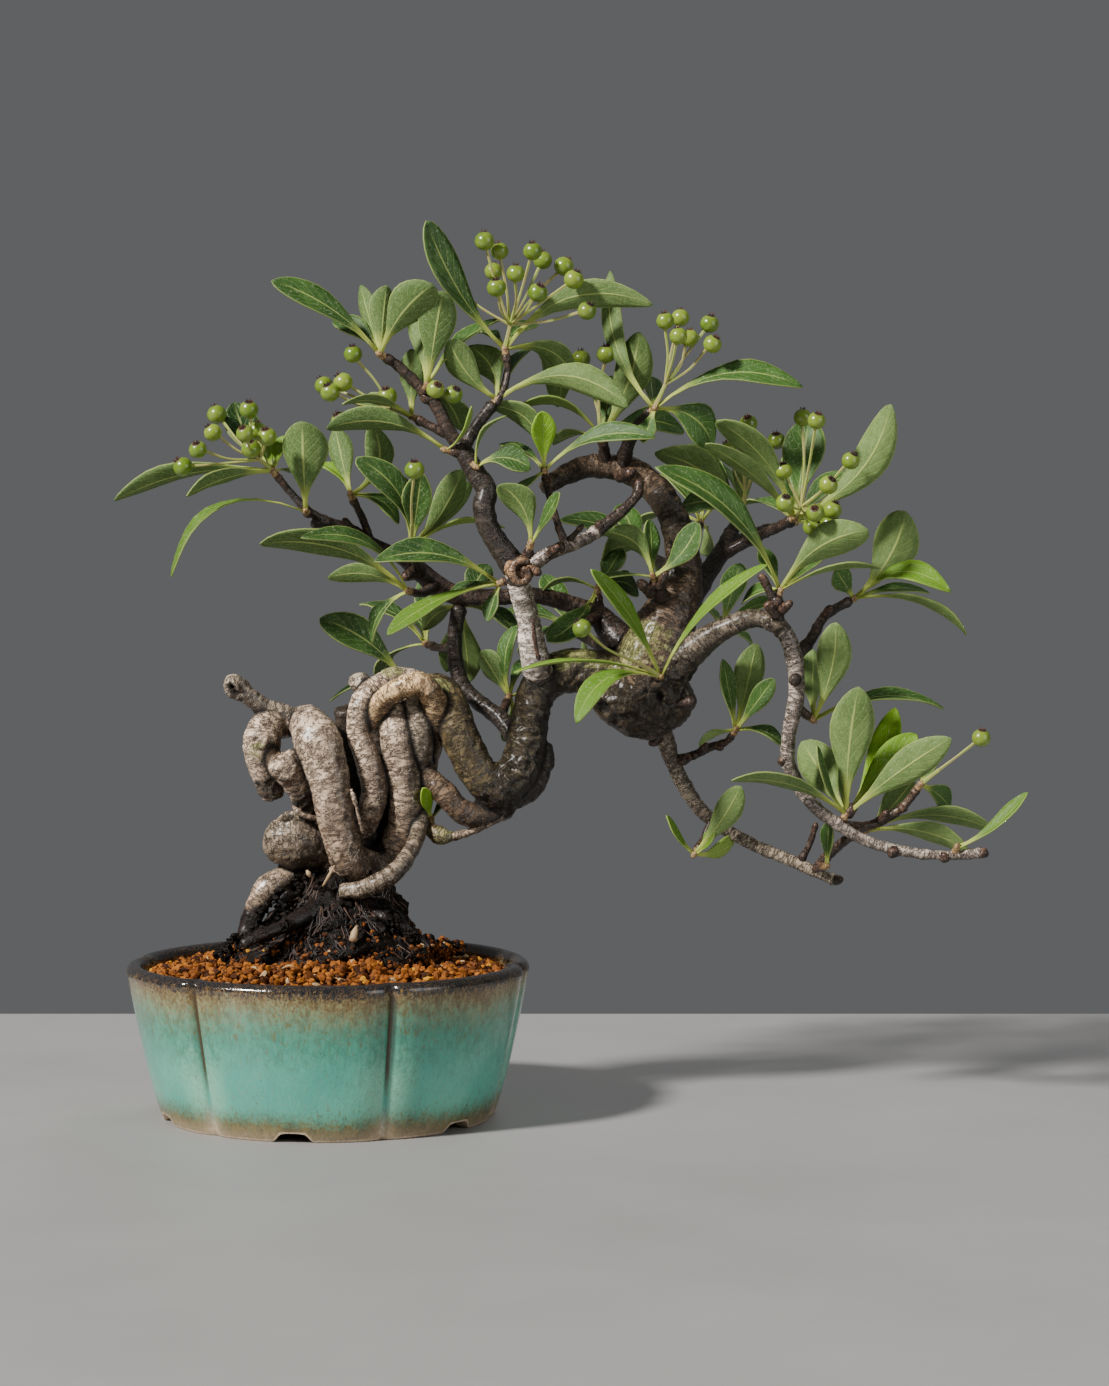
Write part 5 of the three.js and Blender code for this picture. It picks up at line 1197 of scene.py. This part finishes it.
# Scars where a side twig fell: a place on a branch and the scar's radius in millimetres.
FALLEN_TWIGS = laid([
    ((788, 655, -18), 1.5), ((797, 677, -19.5), 1.4), ((786, 760, -15.5), 1.2), ((799, 785, -15), 1.2),
    ((895, 853, -14.5), 1.0), ((925, 858, -15.5), 1.0), ((520, 600, -15.5), 1.2), ((476, 480, -20.5), 1.1),
    ((486, 512, -22), 1.2), ((700, 808, 8), 1.1), ((742, 836, 8), 1.2), ((770, 622, -17), 1.4),
    ((521, 568, -25.4), 1.5), ((640, 508, -19), 1.0), ((560, 545, -22), 1.0),
])
thin_bm = bmesh.new()
lay_bark(thin_bm)


def knobs(rings, phase):
    """A branch's rings with the swellings that old buds left. It ends round."""
    total = rings[-1][2]
    swollen = []
    for point, radius, length, turn in rings:
        slow = noise.noise(Vector((length * 0.22, phase, 0)))
        quick = noise.noise(Vector((length * 0.6, 0, phase)))
        swell = max(0, slow + 0.6 * quick - 0.12)
        knuckle = 0.3 * max(0, 1 - abs(total - length - 1.6) / 1.6)
        end = max(0.25, min(1, (total - length) / max(radius, 0.3) + 0.45)) ** 0.5
        swollen.append((point, (radius + swell * (0.35 + 0.3 / radius) + knuckle) * end, length, turn))
    return swollen


def thin_limb(tone, stations, sides, phase):
    """Adds a branch or twig. Its colour turns to russet where it is thin and towards its end, but not on a
    peeled, pale one."""
    rings = knobs(rings_along(stations, BRANCH_STEP), phase)
    total = rings[-1][2]
    russet = 0 if tone == PALE else 1 - ease(stations[-1][3], 0.9, 1.5)
    turn_at = {round(length, 4): turn for _, _, length, turn in rings}

    def mark(tube, vert, local, length):
        layers = tube.verts.layers
        young = russet * (0.45 + 0.55 * (1 - ease(total - length, 1, 9)))
        grain = Vector((local.x + phase * 17, local.y, length))
        on_the_side = local.length > 0.1
        dark = lift = 0
        if on_the_side:
            fine = noise.noise(grain * 0.8)
            long = noise.noise(Vector((grain.x, grain.y, grain.z * 0.25)) * 1.7)
            lift = 0.2 * (fine + 0.7 * long) * min(1, local.length / 1.4)
        for spot, size in FALLEN_TWIGS:
            away = (vert.co - spot).length / size
            if away < 2.4:
                dark = max(dark, 0.55 * (1 - ease(away, 0.8, 1.3)))
                lift += 0.35 * (1 - ease(away, 1.3, 2.2)) * ease(away, 0.6, 1.2)
        if on_the_side:
            vert.co += (turn_at[round(length, 4)] @ local).normalized() * lift
        vert[layers.float_color["bark"]] = [a + (b - a) * young * 0.8 for a, b in zip(tone, RUSSET)]
        vert[layers.float_vector["grain"]] = grain
        vert[layers.float["painted_shade_and_scars"]] = dark
        vert[layers.float["moss"]] = 0

    lay_tube(thin_bm, rings, sides, mark)


for number, (tone, stations) in enumerate(BRANCHES):
    thin_limb(tone, stations, BRANCH_SIDES, number)
for number, stations in enumerate(TWIGS):
    thin_limb(DUSK, stations, TWIG_SIDES, number + TWIG_PHASE)
make_piece("branches_and_twigs", thin_bm, bark)

# The leaves. Leathery evergreen leaves stand in shoots on the twigs' ends, and part at one bud. A shoot is
# a place near its bud and its leaves: (across, down, back) of the tip, the breadth, the facing, the arch,
# and for a young leaf how pale it still is.
# Facing turns the upper side from the viewer, 0, over the top, 90, to the back, 180. The arch is how far
# the leaf's middle bulges upwards.
SHOOTS = {
    "tip_left": ((379, 350, -19), [
        (273, 279, -24, 9.5, 35, 3), (334, 318, -6, 7, 25, 2), (362, 284, -2, 6, 150, 0),
        (387, 284, -16, 9, 165, 0), (434, 282, -26, 13.5, 168, 2)]),
    "mid_left": ((427, 383, -19), [
        (443, 289, -22, 12, 170, 0), (420, 300, -10, 9, 160, 0), (503, 317, -6, 8, 60, 3),
        (462, 428, 0, 9, 150, 2)]),
    "fork_tip": ((499, 395, -15), [
        (450, 338, -18, 9.5, 165, -2), (470, 345, -6, 10.5, 165, 3), (629, 404, -20, 9.5, 172, 8),
        (540, 338, 10, 8, 60, 2)]),
    "apex": ((506, 345, -12), [
        (429, 219, -20, 11, 30, -3), (653, 303, -18, 9.5, 172, 9), (558, 404, 14, 11, 160, 9),
        (536, 320, 2, 8, 40, 2), (577, 378, -4, 8.5, 140, 5), (470, 330, 6, 7, 60, 2)]),
    "y_left": ((448, 447, -17), [
        (327, 425, -16, 9.5, 140, 5), (472, 404, -26, 5, 100, -2, 0.4)]),
    "y_right": ((476, 463, -19), [
        (531, 466, -22, 9.5, 35, 3), (505, 412, -24, 5, 95, 3)]),
    "pale_spur": ((411, 413, -12), [
        (343, 402, -38, 5.5, 115, 3), (412, 347, -10, 8.5, 165, 0), (356, 413, 2, 9, 150, 3)]),
    "far_left": ((271, 466, -10), [
        (115, 497, -12, 9, 125, 4), (187, 493, -28, 7.5, 130, 2), (236, 398, 2, 12, 25, -2),
        (303, 472, 4, 6, 100, 1), (262, 430, 6, 6, 40, 0, 0.7), (286, 432, -4, 6, 40, 0, 0.6)]),
    "left_fan": ((306, 507, -11), [
        (303, 419, -16, 15, 172, 0), (170, 571, -20, 7.5, 75, 12, 0.3)]),
    "left_upright": ((350, 490, 2), [
        (374, 423, -4, 9.5, 165, -5), (320, 461, 10, 7, 60, 2, 0.7), (336, 425, 12, 8, 160, 0),
        (400, 520, 4, 7, 45, 3)]),
    "left_dark": ((412, 541, -6), [
        (358, 455, -12, 9.5, 25, 5), (422, 470, -16, 9.5, 12, 0), (462, 466, -8, 9.5, 150, -2),
        (471, 480, 8, 8, 150, 0), (505, 523, -12, 7, 100, 4, 0.3), (386, 466, 10, 8, 150, 3)]),
    "left_low": ((406, 587, -5), [
        (260, 541, -18, 11, 145, 6), (328, 574, -2, 6.5, 150, 3), (303, 533, -30, 6.5, 60, 7),
        (370, 640, 4, 8, 60, 3)]),
    "left_mid": ((498, 580, -14), [
        (375, 556, -26, 10, 40, 5), (387, 631, -28, 8, 60, 3, 0.35), (440, 600, -6, 7, 60, 2),
        (487, 618, -14, 6, 40, 0)]),
    "prop_top": ((463, 600, 28), [
        (447, 668, 38, 8, 170, 0), (471, 678, 34, 9, 160, 0), (519, 634, 18, 7, 45, 3),
        (424, 626, 36, 7, 150, 2), (488, 560, 36, 9, 20, 0)]),
    "low_back": ((423, 639, 45), [
        (360, 600, 50, 9, 60, 3), (380, 680, 56, 9, 100, 4), (430, 570, 58, 9, 10, 0),
        (400, 610, 78, 9, 60, 3)]),
    "knot_back": ((404, 676, 16), [
        (320, 615, 12, 11.5, 25, 3), (329, 698, 18, 6, 80, 3)]),
    "trunk_back": ((511, 690, 16), [
        (482, 648, 18, 10, 140, 0), (505, 738, 24, 6.5, 150, -2), (548, 708, 26, 8, 150, 3),
        (514, 622, 12, 8, 45, 2), (540, 650, 34, 8, 60, 2)]),
    "centre_small": ((531, 539, -22), [
        (500, 481, -28, 10.5, 150, 3), (560, 490, -34, 6, 60, 0)]),
    "arch_left": ((544, 466, -12), [
        (543, 409, -16, 8, 15, 0, 0.9), (489, 400, -10, 9.5, 140, 6), (500, 441, 0, 6, 60, 2),
        (517, 487, -20, 4.5, 60, 0), (655, 434, -24, 7.5, 50, 5)]),
    "arch_mid": ((602, 432, -2), [
        (512, 407, -8, 6.5, 110, 6, 0.2), (640, 330, -8, 12, 184, -2), (553, 441, 8, 6.5, 100, 2),
        (612, 372, 8, 7, 20, 0), (684, 428, 20, 10, 25, 4)]),
    "upper_mid": ((656, 403, -15), [
        (802, 383, -20, 9.5, 50, 7), (714, 444, -8, 12.5, 15, 4), (611, 270, 2, 7.5, 150, -5),
        (650, 375, 10, 7, 20, 0), (643, 440, -18, 6, 20, 0)]),
    "burl_crown": ((652, 572, -15), [
        (603, 527, -14, 9, 140, 4), (698, 520, -18, 9.5, 30, -2), (596, 576, -16, 5, 80, 1),
        (650, 516, -4, 6, 30, 0)]),
    "behind_arch": ((641, 547, 36), [
        (560, 516, 44, 9.5, 50, 3), (600, 556, 20, 12, 150, 3), (620, 500, 62, 9, 30, 0),
        (600, 530, 72, 9, 60, 2), (660, 590, 62, 9, 80, 2)]),
    "branch_top": ((598, 586, 14), [
        (541, 588, 14, 6.5, 100, 3), (622, 545, 22, 8, 30, 0), (640, 590, 28, 8, 20, 3),
        (548, 638, -6, 9, 15, -2)]),
    "burl_front": ((660, 673, -16), [
        (592, 566, -34, 7, 50, 2, 0.4), (767, 561, -36, 6.5, 60, 4, 0.45), (514, 669, -32, 5.5, 95, 4, 0.5),
        (576, 719, -34, 8.5, 45, 7, 0.35)]),
    "right_tuft": ((780, 586, -17), [
        (657, 463, -30, 12.5, 45, 6), (868, 527, -24, 12, 165, 4), (881, 566, -14, 6.5, 110, 3),
        (762, 545, -4, 6, 30, 0), (742, 600, -2, 7, 60, 2), (826, 546, 0, 7, 50, 0)]),
    "upper_right_back": ((742, 512, 27), [
        (655, 449, 14, 13, 150, 4), (690, 440, 36, 10, 30, 0), (747, 446, 22, 8, 155, 0),
        (680, 504, 40, 9, 25, 3), (720, 460, 56, 9, 60, 2)]),
    "upper_right": ((796, 512, -4), [
        (891, 402, -14, 12, 190, -6), (808, 418, 10, 14, 15, 0), (716, 418, -18, 10.5, 150, 4),
        (705, 440, -32, 7.5, 130, 2), (850, 540, 10, 8, 60, 3)]),
    "right_deep": ((797, 519, 54), [
        (850, 470, 56, 9, 40, 2), (790, 450, 66, 9, 20, 0), (740, 500, 74, 9, 60, 3),
        (850, 540, 74, 9, 80, 3), (800, 520, 96, 9, 90, 3)]),
    "back_top": ((702, 516, 55), [
        (660, 470, 62, 9, 60, 2), (710, 440, 66, 9, 20, 0), (640, 520, 76, 9, 80, 3),
        (745, 490, 82, 9, 80, 2), (700, 550, 90, 9, 100, 3)]),
    "back_right": ((725, 623, 58), [
        (790, 600, 62, 9, 60, 3), (740, 560, 66, 9, 20, 0), (690, 600, 82, 9, 80, 2),
        (760, 660, 74, 9, 80, 3), (730, 630, 96, 9, 90, 3)]),
    "back_left": ((571, 627, 56), [
        (500, 610, 60, 9, 60, 3), (545, 570, 70, 9, 20, 0), (520, 650, 80, 9, 80, 3),
        (600, 600, 86, 9, 60, 2), (580, 660, 84, 8, 100, 3)]),
    "right_back": ((854, 595, 8), [
        (951, 588, -4, 9.5, 55, 7, 0.5), (967, 632, 4, 9, 110, 5), (905, 508, 2, 15, 185, -3),
        (835, 566, 2, 8, 15, 0), (930, 588, 18, 6, 60, 2)]),
    "spur_right": ((814, 718, -12), [
        (836, 619, -16, 11, 184, -2), (812, 648, 2, 8, 160, 0), (945, 703, 4, 7.5, 55, 5)]),
    "twig_left": ((736, 727, 2), [
        (723, 656, -4, 5.5, 30, 0), (757, 640, 4, 10, 160, 0), (774, 676, -4, 6.5, 25, 0),
        (784, 741, 4, 6, 60, 2), (699, 742, -2, 5, 120, 1)]),
    "end_tuft": ((848, 810, -12), [
        (859, 683, -18, 14, 186, 1), (952, 735, -26, 11, 188, 1), (917, 731, -2, 9.5, 30, 1, 0.6),
        (896, 704, 10, 9, 20, -2, 0.9), (804, 739, 0, 13, 165, 0), (732, 777, -26, 8, 130, 4),
        (818, 743, -20, 5, 60, -2), (836, 740, 16, 8, 30, 0)]),
    "end_low": ((869, 829, -4), [
        (995, 828, 4, 7.5, 130, 5), (970, 847, -6, 8, 150, 3), (914, 773, 6, 10, 160, -1)]),
    "end_spur": ((922, 782, -6), [
        (952, 806, 8, 8, 30, 1), (936, 752, 0, 5, 30, 0)]),
    "end_tip": ((958, 843, -17), [
        (1028, 789, -20, 5.5, 60, -2, 0.3)]),
    "low_end": ((828, 863, -4), [
        (830, 819, -7, 5, 40, 0)]),
    "hanging": ((694, 857, 3), [
        (742, 783, -2, 8.5, 186, -1), (667, 813, 0, 4, 60, -1, 0.4), (713, 826, 2, 5, 60, -1, 0.5),
        (737, 834, 12, 7.5, 150, -2, 0.45)]),
    "knot_right": ((431, 816, 2), [
        (424, 786, -6, 4, 25, 0, 0.8), (446, 795, 6, 3, 60, 0)]),
}
SEAT_GAP = 0.33
STEM_LENGTH = 1.3
LEAF_THICKNESS = 0.42
PETIOLE_END = 0.17
PETIOLE_HALF_WIDTH = 0.5
LEAF_COLUMNS = 6
LEAF_ROWS = 11
LEAF_FOLD = 0.25
LEAF_LAYERS = ("along", "across", "under", "hue_and_painted_light", "young", "bud")
ENDS = [(path[-1][0], (path[-1][0] - path[-2][0]).normalized())
        for path in (smooth_path(stations, 1) for stations in
                     [limb[1] for limb in KNOT + ROOTS + TRUNK + BRANCHES] + TWIGS)]


def seat_of(near_to):
    """The foot, direction and bud of a shoot, on the end of the twig that ends nearest to a place."""
    wanted = place(near_to)
    end, outwards = min(ENDS, key=lambda found: (found[0] - wanted).length)
    foot = end + outwards * SEAT_GAP
    return foot, outwards, foot + outwards * STEM_LENGTH


def leaf_half(along, breadth, point):
    """Half the width of a leaf at a share of its length: a petiole, then a blade that is widest past its
    middle and ends round, 0, or with a point, 1."""
    if along <= PETIOLE_END:
        return PETIOLE_HALF_WIDTH * (1.3 - along / PETIOLE_END * 0.3)
    share = (along - PETIOLE_END) / (1 - PETIOLE_END)
    swell = min(share ** (1.6 - point * 0.35), 0.9999)
    blade = math.sin(math.pi * swell) ** (0.9 if swell < 0.5 else 0.5 + point * 0.35)
    return PETIOLE_HALF_WIDTH * (1 - share) + breadth * 0.45 * blade


def grow_leaf(bm, bud, row):
    """Adds one leaf: a grid bent to its outline, folded at its midrib and arched, and given its thickness."""
    tip = place(row)
    breadth, facing, arch = row[3:6]
    young = row[6] if len(row) > 6 else 0
    axis = (tip - bud).normalized()
    length = (tip - bud).length
    to_viewer = Vector((0, -1, 0))
    to_viewer = (to_viewer - axis * to_viewer.dot(axis)).normalized()
    upwards = axis.cross(to_viewer)
    if upwards.z < 0:
        upwards.negate()
    turn = math.radians(facing)
    upper = to_viewer * math.cos(turn) + upwards * math.sin(turn)
    side = axis.cross(upper)
    twist = chance.uniform(-0.22, 0.22)
    curl = chance.uniform(-0.9, 0.5) * min(1, breadth / 8)
    cup = LEAF_FOLD + chance.uniform(-0.12, 0.16)
    ripple = chance.uniform(0.1, 0.4)
    phase = chance.uniform(0, math.tau)
    point = chance.random() * 0.65
    # A leaf's hue is partly random and partly painted light: leaves further to the right, where more light
    # falls, are paler.
    hue_and_painted_light = chance.random() * 0.4 + ease(tip.x, -30, 150) * 0.6
    leaf = bmesh_with(*LEAF_LAYERS)
    layers = leaf.verts.layers.float
    made = bmesh.ops.create_grid(leaf, x_segments=LEAF_COLUMNS, y_segments=LEAF_ROWS, size=1)["verts"]
    for vert in made:
        across, along = vert.co.x, 1 - ((1 - vert.co.y) / 2) ** 1.45
        half = leaf_half(along, breadth, point)
        bend = arch * 4 * along * (1 - along)
        lie = twist * ease(along, 0.2, 1)
        out = side * math.cos(lie) + upper * math.sin(lie)
        over = upper * math.cos(lie) - side * math.sin(lie)
        fold = cup * half * abs(across) ** 1.3 + curl * ease(along, 0.6, 1) * along
        wave = ripple * abs(across) ** 2 * math.sin(phase + along * 11 + across) * ease(half, 1, 4)
        vert.co = bud + axis * along * length + upwards * bend + out * half * across + over * (fold + wave)
        for name, value in zip(LEAF_LAYERS, (along, across, 0, hue_and_painted_light, young, 0)):
            vert[layers[name]] = value
    leaf.normal_update()
    if sum((face.normal for face in leaf.faces), Vector()).dot(upper) < 0:
        bmesh.ops.reverse_faces(leaf, faces=leaf.faces)
    for part in bmesh.ops.solidify(leaf, geom=leaf.faces[:], thickness=LEAF_THICKNESS)["geom"]:
        if isinstance(part, bmesh.types.BMVert):
            part[layers["under"]] = 1
    gather(bm, leaf)


def leaf_finish():
    """Dark, glossy upper side and grey-green, matt under side, a pale midrib, veins and a pale margin. The
    petiole is yellow-green, and the bud it springs from is tan."""
    leaf = Finish("leaf", Specular_IOR_Level=0.32)
    along, across, under, hue_and_painted_light, young, bud = (leaf.attribute(name) for name in LEAF_LAYERS)
    away = across.size()
    under = under.rise(0.4, 0.6)
    blotches = leaf.place.cloud(150, 3, 0.6)
    grit = leaf.place.cloud(1300, 3, 0.65)
    midrib = away.rise(0.085, 0.02) * along.rise(1.02, 0.75)
    veins = (along * 58 - away * 15 + blotches * 5).wave().rise(0.6, 1.0)
    veins = veins * away.rise(0.02, 0.1) * away.rise(1, 0.7)
    margin = away.rise(0.92, 1.0) * along.rise(0.2, 0.3)
    base = along.rise(0.36, 0.12)
    # Upper and under sides run from dark to pale with the hue, part of which is painted light.
    top = hue_and_painted_light.between(srgb(26, 54, 18), srgb(58, 94, 31))
    top = (blotches.rise(0.44, 0.66) * 0.5).between(top, srgb(74, 108, 48))
    below = hue_and_painted_light.between(srgb(66, 92, 42), srgb(112, 136, 74))
    below = (blotches.rise(0.38, 0.6) * 0.5).between(below, srgb(64, 92, 38))
    net = (leaf.place.cloud(1100, 2, 0.5) - 0.5).size().rise(0.045, 0.0)
    below = (net * 0.4).between(below, srgb(146, 162, 104))
    colour = under.between(top, below)
    colour = (veins * (0.13 - under * 0.01)).between(colour, srgb(146, 164, 98))
    colour = (midrib * (0.55 + under * 0.2)).between(colour, srgb(166, 180, 98))
    colour = (margin * 0.5).between(colour, srgb(166, 178, 100))
    tender = under.between(srgb(118, 160, 22), srgb(142, 172, 48))
    colour = (young * (1 - midrib * 0.5)).between(colour, tender)
    colour = base.between(colour, srgb(168, 180, 82))
    # Pale specks on the upper side: partly dust, partly painted glints of its gloss.
    colour = (grit.rise(0.56, 0.68) * (0.24 - under * 0.14)).between(colour, srgb(190, 198, 168))
    colour = bud.between(colour, grit.rise(0.4, 0.6).between(srgb(104, 76, 54), srgb(164, 138, 92)))
    roughness = 0.44 + under * 0.18 + grit * 0.2
    relief = 0.5 - veins * (0.3 - under * 0.15) - midrib * (0.4 - under) + grit * 0.12
    return leaf.done(colour, roughness, relief, 0.0004, 0.6)


leaf_green = leaf_finish()
for name, (near_to, leaves) in SHOOTS.items():
    foot, outwards, bud = seat_of(near_to)
    shoot_bm = bmesh_with(*LEAF_LAYERS)
    for row in leaves:
        grow_leaf(shoot_bm, bud - outwards * 0.4, row)
    stem = [(foot - outwards * 1.2, 0.95), (foot - outwards * 0.4, 1.2), (foot + outwards * 0.3, 0.95),
            (bud - outwards * 0.1, 1.15), (bud + outwards * 1.2, 0.35)]
    lay_tube(shoot_bm, rings_along(stem, 0.6), sides=8, mark=marking("bud", 1))
    make_piece("shoot_" + name, shoot_bm, leaf_green, ["leaves_" + name])

# The berries. Unripe fruit on forked stalks, each bunch springing from a shoot's bud. A row is a berry's
# centre, (across, down, back).
BUNCHES = {
    "apex": [
        (485, 240, -20), (500, 250, -14), (533, 250, -18), (543, 259, -8), (494, 270, -8),
        (516, 272, -22), (564, 265, -12), (574, 278, -20), (538, 291, -26), (587, 309, -24), (497, 286, -24),
        (452, 282, -12)],
    "pale_spur": [
        (388, 394, -18), (344, 380, -14), (325, 383, -6), (331, 390, -16), (341, 418, -12),
        (354, 352, -16)],
    "mid_left": [
        (436, 387, -27), (454, 392, -24)],
    "far_left": [
        (184, 464, -16), (199, 447, -20), (214, 430, -14), (218, 412, -6), (250, 407, -16),
        (246, 431, -24), (268, 434, -20), (258, 428, -10), (252, 446, -14)],
    "left_dark": [
        (415, 467, -24)],
    "arch_mid": [
        (581, 357, 4), (606, 352, -4)],
    "upper_mid": [
        (665, 319, -18), (680, 316, -10), (678, 334, -22), (689, 336, -14), (709, 322, -12),
        (712, 342, -20)],
    "upper_right_back": [
        (748, 421, -2), (776, 438, 10), (728, 447, 22)],
    "upper_right": [
        (802, 415, -8), (816, 418, -16), (850, 458, -16), (828, 482, -18), (815, 510, -24),
        (832, 507, -16), (785, 500, -26), (783, 468, -8), (812, 524, -14), (829, 521, -10)],
    "right_back": [
        (889, 565, 14)],
    "end_spur": [
        (982, 735, -8)],
    "burl_front": [
        (582, 625, -34)],
}
BERRY_RADIUS = 2.9
BERRY_SIDES = 14
CROWN_RADIUS = 1.25
CROWN_LOBES = 5


def berry_pattern():
    """One berry, stalk end down: a lathed ball, dimpled on top, with the five dried lobes of its flower."""
    bm = bmesh_with("crown")
    crown = bm.verts.layers.float["crown"]
    turns = [-90, -72, -52, -32, -10, 12, 34, 54, 66]
    outline = [(math.cos(math.radians(t)) * BERRY_RADIUS, math.sin(math.radians(t)) * BERRY_RADIUS * 0.94)
               for t in turns]
    outline[0] = (0, outline[0][1])
    outline += [(0.75, BERRY_RADIUS * 0.86), (0.45, BERRY_RADIUS * 0.72), (0, BERRY_RADIUS * 0.7)]
    lathe(bm, outline, BERRY_SIDES, closed=False)
    for vert in bm.verts:
        from_stalk_line = math.hypot(vert.co.x, vert.co.y)
        vert[crown] = 1 if vert.co.z > BERRY_RADIUS * 0.6 and from_stalk_line < CROWN_RADIUS else 0
    for lobe in range(CROWN_LOBES):
        made = bmesh.ops.create_cone(bm, cap_ends=True, segments=3, radius1=0.36, radius2=0.04, depth=1.4)
        turn = Matrix.Rotation(lobe * math.tau / CROWN_LOBES, 4, "Z")
        turn = turn @ Matrix.Translation((0.66, 0, BERRY_RADIUS * 0.97)) @ Matrix.Rotation(0.55, 4, "Y")
        for vert in made["verts"]:
            vert.co = turn @ vert.co
            vert[crown] = 1
    return mesh_of("berry_pattern", bm)


def berry_finish():
    """Unripe flesh: glossy, green to yellow-green with pale dots, a dark crown and a pale stalk."""
    berry = Finish("unripe_berry", Coat_Roughness=0.12, Subsurface_Weight=0.08, Subsurface_Scale=0.002)
    crown, ripe, stalk = (berry.attribute(name) for name in ("crown", "ripe", "stalk"))
    blush = berry.place.cloud(240, 2)
    dots = berry.place.cells(900).rise(0.22, 0.1)
    colour = ripe.between(srgb(82, 112, 24), srgb(128, 150, 46))
    colour = (blush.rise(0.42, 0.62) * 0.5).between(colour, srgb(130, 148, 56))
    colour = (dots * 0.3).between(colour, srgb(180, 192, 112))
    colour = stalk.between(colour, blush.rise(0.4, 0.6).between(srgb(152, 166, 80), srgb(158, 152, 92)))
    dried = blush.rise(0.4, 0.6).between(srgb(70, 48, 30), srgb(44, 30, 22))
    colour = crown.rise(0.3, 0.8).between(colour, dried)
    return berry.done(colour, 0.28 + stalk * 0.3 + crown * 0.55, blush, 0.0003, 0.3, coat=(1 - crown) * 0.3)


berry_skin = berry_finish()
berry_mesh = berry_pattern()
for name, berries in BUNCHES.items():
    foot, outwards, bud = seat_of(SHOOTS[name][0])
    bunch_bm = bmesh_with("crown", "ripe", "stalk")
    centres = [place(row) for row in berries]
    middle = sum(centres, Vector()) / len(centres)
    fork = bud + (middle - bud) * 0.3
    stalk = [(bud - outwards * 0.3, 0.75), (bud.lerp(fork, 0.6), 0.6), (fork, 0.6)]
    lay_tube(bunch_bm, rings_along(stalk, 2), sides=6, mark=marking("stalk", 1))
    for centre in centres:
        along = (centre - fork).normalized()
        sag = Vector((chance.uniform(-1, 1), chance.uniform(-1, 1), chance.uniform(-1.5, 0.2)))
        under_berry = centre - along * BERRY_RADIUS * 0.8
        stalk = [(fork, 0.5), (fork.lerp(centre, 0.5) + sag, 0.38), (under_berry, 0.5)]
        lay_tube(bunch_bm, rings_along(stalk, 2), sides=5, mark=marking("stalk", 1))
        size = chance.uniform(0.93, 1.04)
        lean = along * 0.5 + Vector((chance.uniform(-0.35, 0.35), chance.uniform(-0.45, 0.2), 0.75))
        turn = Vector((0, 0, 1)).rotation_difference(lean.normalized()).to_matrix().to_4x4()
        already = len(bunch_bm.verts)
        bunch_bm.from_mesh(berry_mesh)
        bunch_bm.verts.ensure_lookup_table()
        ripe = chance.random()
        for vert in bunch_bm.verts[already:]:
            vert.co = centre + turn @ (vert.co * size)
            vert[bunch_bm.verts.layers.float["ripe"]] = ripe
    make_piece("bunch_" + name, bunch_bm, berry_skin, ["berries_" + name], sharp=50)

# The floor. A plain, matt grey plane that the render stands the object on. It ends a little way behind the
# pot, and is not part of the object.
FLOOR_HALF_WIDTH = 1.5
FLOOR_BACK_EDGE = 0.19
floor_bm = bmesh.new()
bmesh.ops.create_grid(floor_bm, x_segments=1, y_segments=1, size=FLOOR_HALF_WIDTH)
bmesh.ops.translate(floor_bm, verts=floor_bm.verts, vec=(0, FLOOR_BACK_EDGE - FLOOR_HALF_WIDTH, 0))
floor = add_object("floor", mesh_of("floor", floor_bm))
plaster = Finish("grey_floor", Roughness=0.5)
plaster.done(plaster.place.cloud(14, 3).between(srgb(136, 135, 134), srgb(152, 151, 150)))
floor.data.materials.append(plaster.material)

# The light. A broad key from the upper left front, a weak fill from the right and one from behind that
# leaves no glints. A row is a name, a place, a width, a power in watts and a colour.
AIM_HEIGHT = 0.13
LIGHTS = [
    ("key", (-1.9, -1.55, 2.0), 0.4, 205, (1.0, 0.97, 0.93)),
    ("fill", (0.9, -0.8, 0.45), 0.9, 4.5, (0.95, 0.98, 1.0)),
    ("back", (0.3, 0.9, 0.9), 0.6, 7, (1.0, 1.0, 1.0)),
]
for name, position, width, power, colour in LIGHTS:
    lamp = bpy.data.lights.new(name, "AREA")
    lamp.shape = "DISK"
    lamp.size = width
    lamp.energy = power
    lamp.color = colour
    lit = add_object(name, lamp)
    lit.visible_glossy = name != "back"
    lit.location = position
    lit.rotation_euler = (Vector((0, 0, AIM_HEIGHT)) - lit.location).to_track_quat("-Z", "Y").to_euler()
# Even, dim light from all round.
world = bpy.data.worlds.new("studio")
world.use_nodes = True
world.node_tree.nodes["Background"].inputs["Color"].default_value = srgb(170, 171, 173)
world.node_tree.nodes["Background"].inputs["Strength"].default_value = 0.3
bpy.context.scene.world = world

# The camera. It stands at EYE, about a metre in front and 170 mm above the floor, and is tilted down a
# little, so that the render shows the view in which the tree is laid out.
EYE_TILT = math.radians(2.55)
camera_data = bpy.data.cameras.new("camera")
camera_data.sensor_fit = "VERTICAL"
camera_data.sensor_height = 36
camera_data.lens = 83.74
camera = add_object("camera", camera_data)
camera.location = POT_AXIS + EYE * MM
camera.rotation_euler = (math.pi / 2 - EYE_TILT, 0, 0)
bpy.context.scene.camera = camera
